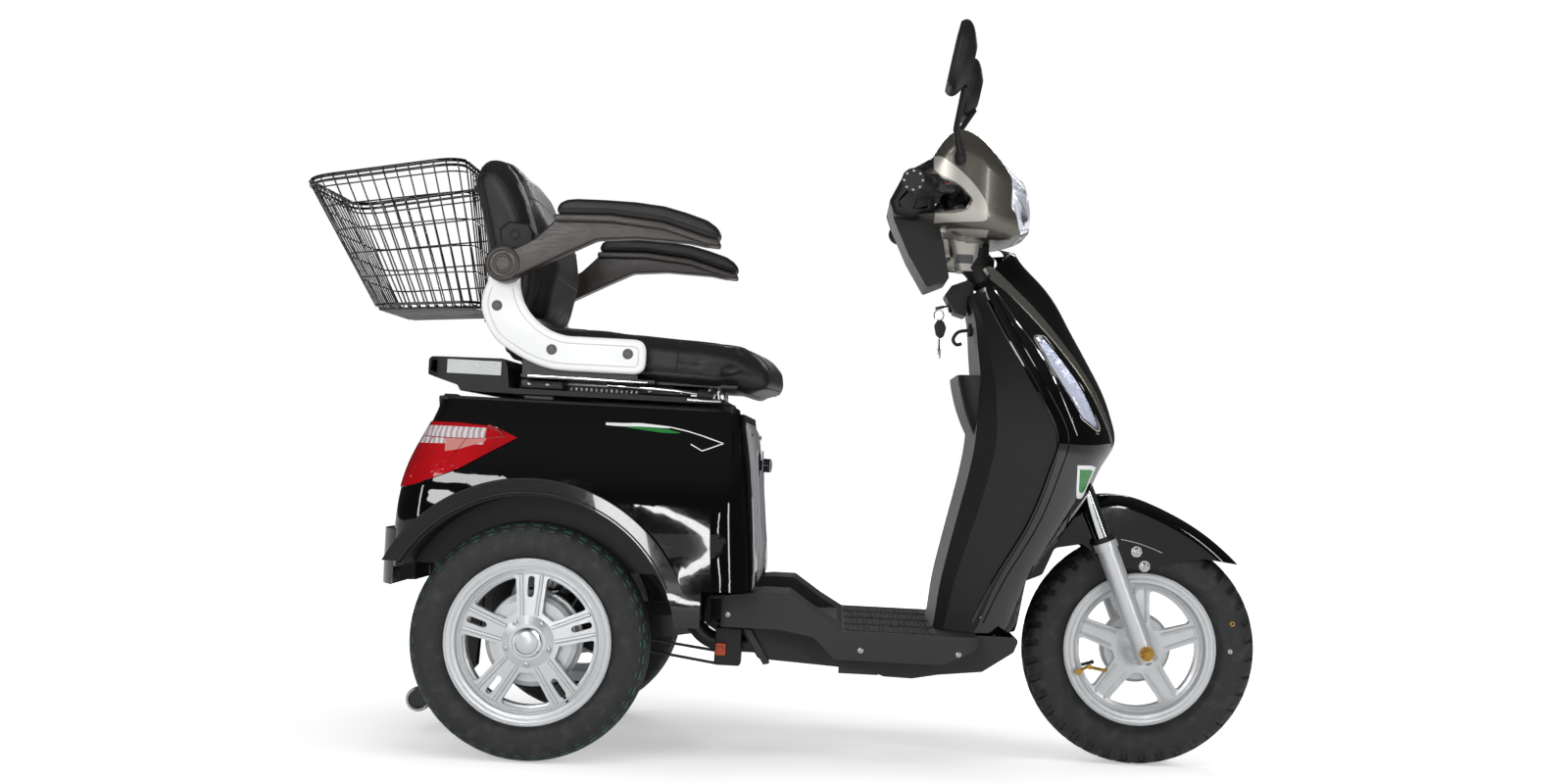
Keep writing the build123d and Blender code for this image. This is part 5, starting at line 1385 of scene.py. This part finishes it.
def build_steering_fittings():
    seals, chrome = [], []
    for side in (1, -1):
        axis = Vector((UP[0], 0, UP[1]))
        at = Vector((XF, side * 83, ZF))
        seals.append(lathe([(213, 19.6), (220, 19), (223, 16.6), (223, 14)], at, axis, 40, caps=False))
        chrome.append(lathe([(222, 14.7), (396, 14.7)], at, axis, 40, caps=False))
        seals.append(lathe([(-19, 6), (-22, 6), (-23, 4), (-23, 0)], at, axis, 20))
    piece("fork_seals", joined(*seals), "rubber_moulded", "steering")
    piece("fork_tubes", joined(*chrome), "steel_chromed", "steering")
    bolts = []
    for side in (1, -1):
        for x, z in ((-20, 396), (-4, 370)):
            hit = landed("front_mudguard", XF + x, z, side)
            if hit:
                bolts.append(joined(screw(hit[0], (0, side, 0), 7.4, 3.0),
                                    lathe([(0, 10), (1, 10), (1, 6)], hit[0], (0, side, 0), 28, caps=False)))
    piece("mudguard_bolts", joined(*bolts), "steel_zinc_plated", "steering")
    bar_x, bar_z = column(901)
    sleeves, ends, dots, boxes, buttons, reds = [], [], [], [], [], []
    for side in (1, -1):
        tip = Vector((bar_x - 90, side * 345, bar_z - 24))
        knee = Vector((bar_x - 62, side * 200, bar_z - 8))
        run = (tip - knee).normalized()
        profile = []
        for k in range(13):
            profile += [(-108 + 8 * k, 16.9), (-106 + 8 * k, 18.0), (-103 + 8 * k, 18.0),
                        (-101 + 8 * k, 16.9)]
        sleeves.append(lathe(profile, tip, run, 36, caps=False))
        ends.append(lathe([(-10, 19), (-6, 20.4), (-1, 20.4), (2.4, 18), (2.8, 14), (1.8, 12), (1.8, 0)], tip,
                          run, 44))
        up = Vector((0, 0, 1))
        out = run.cross(up).normalized()
        up = out.cross(run).normalized()
        for k in range(8):
            t = 2 * math.pi * k / 8
            spot = tip + run * 2.2 + out * 15.6 * math.cos(t) + up * 15.6 * math.sin(t)
            dots.append(lathe([(-0.5, 2.2), (0.6, 2.2), (1.2, 1.2), (1.2, 0)], spot, run, 12))
        place = Matrix((
            (run.x, out.x, up.x, 0), (run.y, out.y, up.y, 0), (run.z, out.z, up.z, 0), (0, 0, 0, 1)))
        at = Matrix.Translation(tip - run * 176) @ place
        box = joined(
            brick((-22, -21, -20), (22, 21, 22), 7),
            brick((-14, -30, -12), (16, -18, 12), 4),
            lathe([(-26, 16), (26, 16)], (0, 0, 0), (1, 0, 0), 32))
        boxes.append(moved(box, at))
        for x, z, w in ((-9, 11, 6), (8, 10, 5)):
            buttons.append(moved(brick((x - w / 2, 20, z - 4), (x + w / 2, 24, z + 4), 1.4), at))
            buttons.append(moved(brick((x - w / 2, -34, z - 12), (x + w / 2, -29, z - 5), 1.4), at))
        reds.append(moved(lathe([(0, 5), (4, 5), (5, 4), (5, 0)], (-2, 21, -8), (0, 1, 0), 24), at))
        reds.append(moved(lathe([(0, 4.4), (4, 4.4), (5, 3.6), (5, 0)], (2, -30, 4), (0, -1, 0), 24), at))
    piece("grip_sleeves", joined(*sleeves, *ends), "rubber_moulded", "steering")
    piece("grip_end_studs", joined(*dots), "steel_zinc_plated", "steering")
    piece("switch_boxes", joined(*boxes), "abs_spark_textured", "steering")
    piece("switch_buttons", joined(*buttons), "abs_grey_dark_moulded", "steering")
    piece("switch_reds", joined(*reds), "nylon_red_moulded", "steering")
    glasses, rims, collars = [], [], []
    for side, raised in ((1, 1), (-1, 0)):
        centre = Vector((XF - 396 + raised * 52 - 16, side * 255, 1236 + raised * 58))
        normal = Vector((1, 0, -0.17)).normalized()
        across = Vector((0, 1, 0))
        high = normal.cross(across).normalized()
        outline = rounded([(-60, -52), (60, -52), (60, 52), (-60, 52)], 40, 10)
        rings = []
        for d, lift in ((0.0, -0.2), (0.4, -1.2), (3, -1.4), (12, -1.5)):
            rings.append([centre + across * p.x + high * p.y + normal * lift for p in inset(outline, d)])
        glasses.append(skinned(rings))
        edge = inset(outline, -2.4)
        rims.append(pipe([centre + across * p.x + high * p.y - normal * 0.4 for p in closed_line(edge, 90)],
                         2.4, 8, loop=True))
        foot = Vector((XF - 387, side * 156, 1086))
        collars.append(lathe([(-12, 9), (-8, 10), (2, 10), (4, 8), (12, 7), (13, 5.6)], foot,
                             Vector((-0.1, side * 0.35, 1)), 28, caps=False))
    piece("mirror_glasses", joined(*glasses), "glass_silvered", "steering")
    piece("mirror_rims", joined(*rims, *collars), "abs_spark_textured", "steering")
    x, z = column(0)
    boot = lathe([(728, 20), (738, 31), (756, 27), (770, 33), (784, 27), (798, 33), (812, 27), (826, 31),
                  (832, 22)],
                 (x, 0, z), (UP[0], 0, UP[1]), 40, caps=False)
    piece("column_boot", boot, "rubber_moulded", "steering")
    housing = puffed(rounded(front([(-507, 1008), (-486, 1052), (-436, 1085), (-424, 1062), (-424, 988),
                                    (-462, 978), (-497, 982)]), 10, 5), -112, 112, 16, steps=6)
    piece("instrument_housing", housing, "abs_spark_textured", "steering")
    louvres = []
    for side in (1, -1):
        for k in range(6):
            x, z = -352 + 10 * k, 1081 - 13 * k
            hit = landed("headlight_lens", XF + x, z, side)
            y = (abs(hit[0].y) if hit else 96) - 9
            louvres.append(brick((XF + x - 16, side * y - 5, z - 2), (XF + x + 6, side * y + 5, z + 1), 0.8))
    piece("headlight_louvres", joined(*louvres), "abs_spark_textured", "steering")
    # instrument panel and its glass, cast onto the top of the cowl
    rows = []
    for i in range(25):
        hits = [cast("head_cowl", (XF - 482 + 2.4 * i, -84 + 14 * j, 1300), (0, 0, -1)) for j in range(13)]
        if all(hits):
            rows.append([point + Vector((0, 0, 1.0)) for point, _ in hits])
    glass = [[p + Vector((0, 0, 1.4)) for p in row[3:10]] for row in rows[2:-1]]
    piece("instrument_panel", skinned(rows, closed_ring=False), "abs_spark_textured", "steering")
    piece("instrument_glass", skinned(glass, closed_ring=False), "glass_display_dark", "steering")


# ------------------------ under the body
def build_underbody():
    coils, hats = [], []
    for side in (1, -1):
        y = side * 177
        foot = Vector((XR - 2, y, ZR + 62))
        head = Vector((XR + 60, y, 560))
        axis = head - foot
        other = axis.normalized().cross(Vector((0, 1, 0))).normalized()
        turns = 9
        line = []
        for k in range(turns * 20 + 1):
            t = 2 * math.pi * k / 20
            share = k / (turns * 20)
            line.append(foot + axis * share + (Vector((0, 1, 0)) * math.cos(t) + other * math.sin(t)) * 27)
        coils.append(pipe(line, 4.2, 8))
        for at in (foot, head):
            hats.append(lathe([(-3, 20), (-3, 32), (3, 32), (3, 20)], at, axis, 32, caps=False))
    piece("shock_springs", joined(*coils), "steel_chromed", "chassis")
    piece("shock_seats", joined(*hats), "steel_zinc_plated", "chassis")
    rods = [pipe([(XR + 60, side * 205, high), (XR + 312, side * 190, low)], 2.6, 8)
            for side in (1, -1) for high, low in ((222, 190), (204, 168))]
    piece("brake_rods", joined(*rods), "steel_powder_coated", "chassis")
    box = joined(
        brick((XR + 306, -198, 166), (XR + 352, -152, 233), 3),
        brick((XR + 306, 152, 166), (XR + 352, 198, 233), 3))
    piece("cable_boxes", box, "abs_spark_textured", "chassis")
    plug = joined(
        brick((XR + 308, -206, 184), (XR + 326, -196, 206), 2),
        brick((XR + 312, -208, 190), (XR + 322, -203, 200), 1.4))
    piece("orange_plug", plug, "nylon_orange_moulded", "chassis")
    outline = rounded(rear([(352, 230), (368, 230), (404, 172), (392, 168), (366, 208)]), 3, 3)
    plate = puffed(outline, 172, 180, 1.5)
    pins = [lathe([(0, 3), (14, 3), (15, 2), (15, 0)], (XR + x, -150, z), (0, 0, -1), 12)
            for x, z in ((430, 190), (640, 176), (744, 188))]
    piece("step_stays", joined(paired(plate), *pins), "steel_powder_coated", "chassis")
    fins = []
    for k in range(9):
        y = -96 + 9 * k
        fins.append(lathe([(0, 58), (0, 63), (3, 63), (3, 58)], (XR + 95, y, ZR + 20), (0, 1, 0), 48,
                          caps=False))
    piece("motor_fins", joined(*fins), "aluminium_cast_lacquered", "chassis")
    bumps = joined(*[screw((XR - 262, y, z), (-1, 0, 0), 5.5, 2.5) for y in (-75, 75) for z in (300, 306)])
    piece("bumper_screws", bumps, "steel_zinc_plated", "chassis")


# ------------------------ stage
def build_camera():
    """Camera at eye level with the seat, level with the long side and rolled 3 degrees."""
    data = bpy.data.cameras.new("view")
    data.sensor_width = 36.0
    data.lens = 38.61
    data.shift_x = -0.031875
    data.shift_y = 0.0425
    camera = bpy.data.objects.new("view", data)
    roll = math.radians(3)
    right = Vector((math.cos(roll), 0, math.sin(roll)))
    up = Vector((-math.sin(roll), 0, math.cos(roll)))
    ahead = Vector((0, 1, 0))
    turn = Matrix((right, up, -ahead)).transposed().to_4x4()
    camera.matrix_world = Matrix.Translation((0.0835, -3.14, 0.5375)) @ turn
    bpy.context.scene.collection.objects.link(camera)
    bpy.context.scene.camera = camera


def rays(tree):
    """1 for rays that reach the eye straight or through glass, and 1 for rays seen in a gloss."""
    path = add(tree, "ShaderNodeLightPath").outputs
    straight = add(tree, "ShaderNodeMath", {0: path["Is Camera Ray"], 1: path["Is Transmission Ray"]},
                   operation="MAXIMUM").outputs[0]
    return straight, path["Is Glossy Ray"]


def build_stage():
    scene = bpy.context.scene
    scene.view_settings.view_transform = "Standard"
    # painted floor: pale, keeps the shadow under the wheels and fades into the white round about
    floor = bpy.data.materials.new("floor_painted_pale")
    floor.use_nodes = True
    tree = floor.node_tree
    tree.nodes.clear()
    coords = add(tree, "ShaderNodeTexCoord").outputs["Object"]
    away = add(tree, "ShaderNodeVectorMath", {0: coords}, operation="LENGTH").outputs["Value"]
    fade = add(tree, "ShaderNodeMapRange", {
        "Value": away, "From Min": 1.0, "From Max": 2.6, "To Min": 0.42, "To Max": 1.0},
        interpolation_type="SMOOTHSTEP").outputs[0]
    straight, glossy = rays(tree)
    mirrored = add(tree, "ShaderNodeMath", {0: glossy, 1: 0.22}, operation="MULTIPLY").outputs[0]
    seen = add(tree, "ShaderNodeMath", {0: straight, 1: mirrored}, operation="MAXIMUM").outputs[0]
    lift = add(tree, "ShaderNodeMath", {0: seen, 1: fade}, operation="MULTIPLY").outputs[0]
    paint = add(tree, "ShaderNodeBsdfDiffuse", {"Color": linear("#efefef")})
    glow = add(tree, "ShaderNodeEmission", {"Color": (1, 1, 1, 1), "Strength": lift})
    both = add(tree, "ShaderNodeAddShader", {0: paint.outputs[0], 1: glow.outputs[0]})
    add(tree, "ShaderNodeOutputMaterial", {"Surface": both.outputs[0]})
    reach = 30.0
    mesh = bpy.data.meshes.new("studio_floor")
    mesh.from_pydata([(-reach, -reach, 0), (reach, -reach, 0), (reach, reach, 0), (-reach, reach, 0)], [],
                     [(0, 1, 2, 3)])
    mesh.materials.append(floor)
    ground = bpy.data.objects.new("studio_floor", mesh)
    scene.collection.objects.link(ground)
    # white room for the eye and for glass; a gloss sees it dim, and a little lighter overhead
    world = bpy.data.worlds.new("studio")
    world.use_nodes = True
    scene.world = world
    tree = world.node_tree
    tree.nodes.clear()
    high = add(tree, "ShaderNodeSeparateXYZ",
               {0: add(tree, "ShaderNodeTexCoord").outputs["Generated"]}).outputs[2]
    rise = add(tree, "ShaderNodeMapRange", {
        "Value": high, "From Min": 0.5, "From Max": 1.0, "To Min": 0.03, "To Max": 0.09},
        interpolation_type="SMOOTHSTEP").outputs[0]
    soft = add(tree, "ShaderNodeBackground", {"Color": (1, 1, 1, 1), "Strength": 0.24})
    white = add(tree, "ShaderNodeBackground", {"Color": (1, 1, 1, 1), "Strength": 1.0})
    dim = add(tree, "ShaderNodeBackground", {"Color": (1, 1, 1, 1), "Strength": rise})
    straight, glossy = rays(tree)
    mirrored = add(tree, "ShaderNodeMixShader", {0: glossy, 1: soft.outputs[0], 2: dim.outputs[0]})
    seen = add(tree, "ShaderNodeMixShader", {0: straight, 1: mirrored.outputs[0], 2: white.outputs[0]})
    add(tree, "ShaderNodeOutputWorld", {"Surface": seen.outputs[0]})
    lamps = [
        # name, place, looks at, width, height, watts, lean in degrees, seen in mirrors
        ("long_softbox_above", (0.15, -1.7, 2.5), (0.0, 0.0, 0.5), 2.6, 0.4, 9, 0, False),
        ("upright_strip_front", (2.1, -2.2, 0.9), (0.4, 0.0, 0.6), 0.2, 1.6, 10, 0, True),
        ("upright_strip_rear", (-2.2, -2.0, 1.0), (-0.5, 0.0, 0.5), 0.2, 1.4, 8, 0, True),
        ("rear_softbox_behind", (-1.6, -4.0, 1.75), (-0.6, 0.0, 0.5), 0.8, 1.0, 24, 0, True),
        ("rear_high_softbox", (-1.35, -3.2, 3.2), (-0.6, 0.0, 0.6), 0.55, 0.9, 13, 0, True),
        ("front_fill", (2.7, -0.9, 1.7), (0.0, 0.0, 0.4), 0.8, 0.8, 22, 0, False),
        ("tall_softbox_behind", (-0.95, -4.3, 1.0), (-0.4, 0.0, 0.5), 0.18, 2.2, 16, 14, True),
        ("slim_softbox_behind", (-0.5, -4.3, 0.9), (-0.2, 0.0, 0.5), 0.08, 2.0, 8, 10, True),
        ("front_softbox_behind", (1.35, -4.3, 1.0), (0.5, 0.0, 0.5), 0.22, 1.2, 11, -12, True),
        ("broad_top", (-0.2, 0.2, 2.9), (0.0, 0.0, 0.4), 2.6, 1.6, 22, 0, False),
        ("far_side_fill", (-0.6, 2.8, 1.8), (0.0, 0.0, 0.5), 2.0, 0.5, 14, 0, False),
        ("far_strip", (0.3, 2.4, 2.0), (0.0, 0.0, 0.5), 2.2, 0.14, 10, 0, True),
        ("far_upright", (-1.2, 3.6, 1.0), (-0.3, 0.0, 0.5), 0.2, 1.8, 12, 12, True),
    ]
    for name, place, target, width, height, watts, lean, mirrored in lamps:
        data = bpy.data.lights.new(name, "AREA")
        data.shape = "RECTANGLE"
        data.size = width
        data.size_y = height
        data.energy = watts
        lamp = bpy.data.objects.new(name, data)
        lamp.location = place
        aim = (Vector(target) - Vector(place)).to_track_quat("-Z", "Y")
        lamp.rotation_euler = (aim @ Matrix.Rotation(math.radians(lean), 3, "Z").to_quaternion()).to_euler()
        lamp.visible_camera = False
        lamp.visible_glossy = mirrored
        scene.collection.objects.link(lamp)


# ------------------------ add-on
def colour_of(code, name, description):
    return FloatVectorProperty(name=name, description=description, default=linear(code), size=4,
                               min=0.0, max=1.0, subtype="COLOR")


def size_of(default, low, high, name, description):
    return FloatProperty(name=name, description=f"{description} in mm", default=default, min=low, max=high)


class ScooterSizes(bpy.types.PropertyGroup):
    """Sizes a user may change, in millimetres."""
    rear_tread: size_of(2.0, 0.5, 4.0, "Rear tread depth", "Depth of the rear tyres' grooves")
    front_tread: size_of(5.0, 1.0, 8.0, "Front tread depth", "Depth of the front tyre's grooves")
    basket_wire: size_of(3.0, 1.5, 5.0, "Basket wire", "Thickness of the basket's thin wires")
    stud_pitch: size_of(10.0, 6.0, 20.0, "Stud pitch", "Distance between the footboard's studs")
    welt: size_of(3.2, 1.0, 8.0, "Welt", "Thickness of the upholstery's welts")
    seat_swell: size_of(7.0, 0.0, 16.0, "Seat swell", "How far the padding may swell")


class ScooterColours(bpy.types.PropertyGroup):
    """Colours a user may change."""
    lacquer: colour_of("#060607", "Body lacquer", "Gloss lacquer of the body, apron and mudguard")
    matt_plastic: colour_of("#1d1d1f", "Matt plastic", "Textured plastic of the floor and shield")
    cowl: colour_of("#67635b", "Cowl", "Metallic paint of the head cowl")
    trim: colour_of("#b9b6ae", "Trim", "Silver paint of the cowl's trim and neck")
    wheel: colour_of("#c6c8ca", "Wheels", "Lacquer of the cast wheels and fork sliders")
    leatherette: colour_of("#1a1a1b", "Upholstery", "Leatherette of seat, back and arm pads")
    arm: colour_of("#37322f", "Armrests", "Moulded nylon of the armrests")
    bracket: colour_of("#eceded", "Brackets", "Moulded covers of the seat brackets")
    cover: colour_of("#bdbcc1", "Battery cover", "Moulded cover over the batteries")
    strip: colour_of("#b3afa6", "Apron strip", "Anodised strip along the apron")
    lamp: colour_of("#9c0610", "Tail lamp", "Red acrylic of the tail lamps")
    rubber: colour_of("#1a1b1d", "Tyres", "Tyre rubber")


class SCOOTER_OT_finishes(bpy.types.Operator):
    """Make the materials and put them on the CAD nodes"""
    bl_idname = "scooter.finishes"
    bl_label = "Finishes"

    def execute(self, context):
        make_finishes(context.scene.scooter_colours)
        finish_nodes()
        return {"FINISHED"}


class SCOOTER_OT_camera(bpy.types.Operator):
    """Place the camera"""
    bl_idname = "scooter.camera"
    bl_label = "Camera"

    def execute(self, context):
        build_camera()
        return {"FINISHED"}


class SCOOTER_OT_tyres(bpy.types.Operator):
    """Mould the treaded tyres"""
    bl_idname = "scooter.tyres"
    bl_label = "Tyres"

    def execute(self, context):
        build_tyres(context.scene.scooter_sizes)
        return {"FINISHED"}


class SCOOTER_OT_wheel_fittings(bpy.types.Operator):
    """Fit nuts, valves and covers to the wheels"""
    bl_idname = "scooter.wheel_fittings"
    bl_label = "Wheel fittings"

    def execute(self, context):
        build_wheel_fittings()
        return {"FINISHED"}


class SCOOTER_OT_basket(bpy.types.Operator):
    """Weld the wire basket"""
    bl_idname = "scooter.basket"
    bl_label = "Basket"

    def execute(self, context):
        build_basket(context.scene.scooter_sizes)
        return {"FINISHED"}


class SCOOTER_OT_upholstery(bpy.types.Operator):
    """Sew the seat cushion and the backrest"""
    bl_idname = "scooter.upholstery"
    bl_label = "Upholstery"

    def execute(self, context):
        build_upholstery(context.scene.scooter_sizes)
        return {"FINISHED"}


class SCOOTER_OT_armrests(bpy.types.Operator):
    """Build the armrests, their pads and the bracket covers"""
    bl_idname = "scooter.armrests"
    bl_label = "Armrests"

    def execute(self, context):
        build_armrests(context.scene.scooter_sizes)
        return {"FINISHED"}


class SCOOTER_OT_lamps(bpy.types.Operator):
    """Fit bowls, bulbs and ribs in the lamps"""
    bl_idname = "scooter.lamps"
    bl_label = "Lamps"

    def execute(self, context):
        build_lamps()
        return {"FINISHED"}


class SCOOTER_OT_trims(bpy.types.Operator):
    """Lay the trims, beads and films on the body"""
    bl_idname = "scooter.trims"
    bl_label = "Trims"

    def execute(self, context):
        build_trims()
        return {"FINISHED"}


class SCOOTER_OT_body_fittings(bpy.types.Operator):
    """Fit latches, screws, knob, lock and key to the body"""
    bl_idname = "scooter.body_fittings"
    bl_label = "Body fittings"

    def execute(self, context):
        build_body_fittings()
        return {"FINISHED"}


class SCOOTER_OT_floor_studs(bpy.types.Operator):
    """Raise the studs of the footboard"""
    bl_idname = "scooter.floor_studs"
    bl_label = "Footboard studs"

    def execute(self, context):
        build_floor_studs(context.scene.scooter_sizes)
        return {"FINISHED"}


class SCOOTER_OT_steering_fittings(bpy.types.Operator):
    """Fit grips, switches, mirrors and fork parts"""
    bl_idname = "scooter.steering_fittings"
    bl_label = "Steering fittings"

    def execute(self, context):
        build_steering_fittings()
        return {"FINISHED"}


class SCOOTER_OT_underbody(bpy.types.Operator):
    """Fit springs, rods and plugs under the body"""
    bl_idname = "scooter.underbody"
    bl_label = "Underbody"

    def execute(self, context):
        build_underbody()
        return {"FINISHED"}


class SCOOTER_OT_stage(bpy.types.Operator):
    """Set up the floor, the world and the lamps"""
    bl_idname = "scooter.stage"
    bl_label = "Stage"

    def execute(self, context):
        build_stage()
        return {"FINISHED"}


OPERATORS = (
    SCOOTER_OT_camera, SCOOTER_OT_finishes, SCOOTER_OT_tyres, SCOOTER_OT_wheel_fittings, SCOOTER_OT_basket,
    SCOOTER_OT_upholstery, SCOOTER_OT_armrests, SCOOTER_OT_lamps, SCOOTER_OT_trims, SCOOTER_OT_body_fittings,
    SCOOTER_OT_floor_studs, SCOOTER_OT_steering_fittings, SCOOTER_OT_underbody, SCOOTER_OT_stage,
)


class SCOOTER_PT_panel(bpy.types.Panel):
    """Sizes, colours and the steps that make the scooter's visible model"""
    bl_label = "Scooter"
    bl_space_type = "VIEW_3D"
    bl_region_type = "UI"
    bl_category = "Scooter"

    def draw(self, context):
        layout = self.layout
        for group in (context.scene.scooter_sizes, context.scene.scooter_colours):
            box = layout.box()
            for key in group.__annotations__:
                box.prop(group, key)
        for operator in OPERATORS:
            layout.operator(operator.bl_idname)


CLASSES = (ScooterSizes, ScooterColours) + OPERATORS + (SCOOTER_PT_panel,)


def register():
    for cls in CLASSES:
        bpy.utils.register_class(cls)
    bpy.types.Scene.scooter_sizes = PointerProperty(type=ScooterSizes)
    bpy.types.Scene.scooter_colours = PointerProperty(type=ScooterColours)


def unregister():
    del bpy.types.Scene.scooter_colours
    del bpy.types.Scene.scooter_sizes
    for cls in reversed(CLASSES):
        bpy.utils.unregister_class(cls)


def main():
    register()
    for operator in OPERATORS:
        group, name = operator.bl_idname.split(".")
        getattr(getattr(bpy.ops, group), name)()


if __name__ == "__main__":
    main()
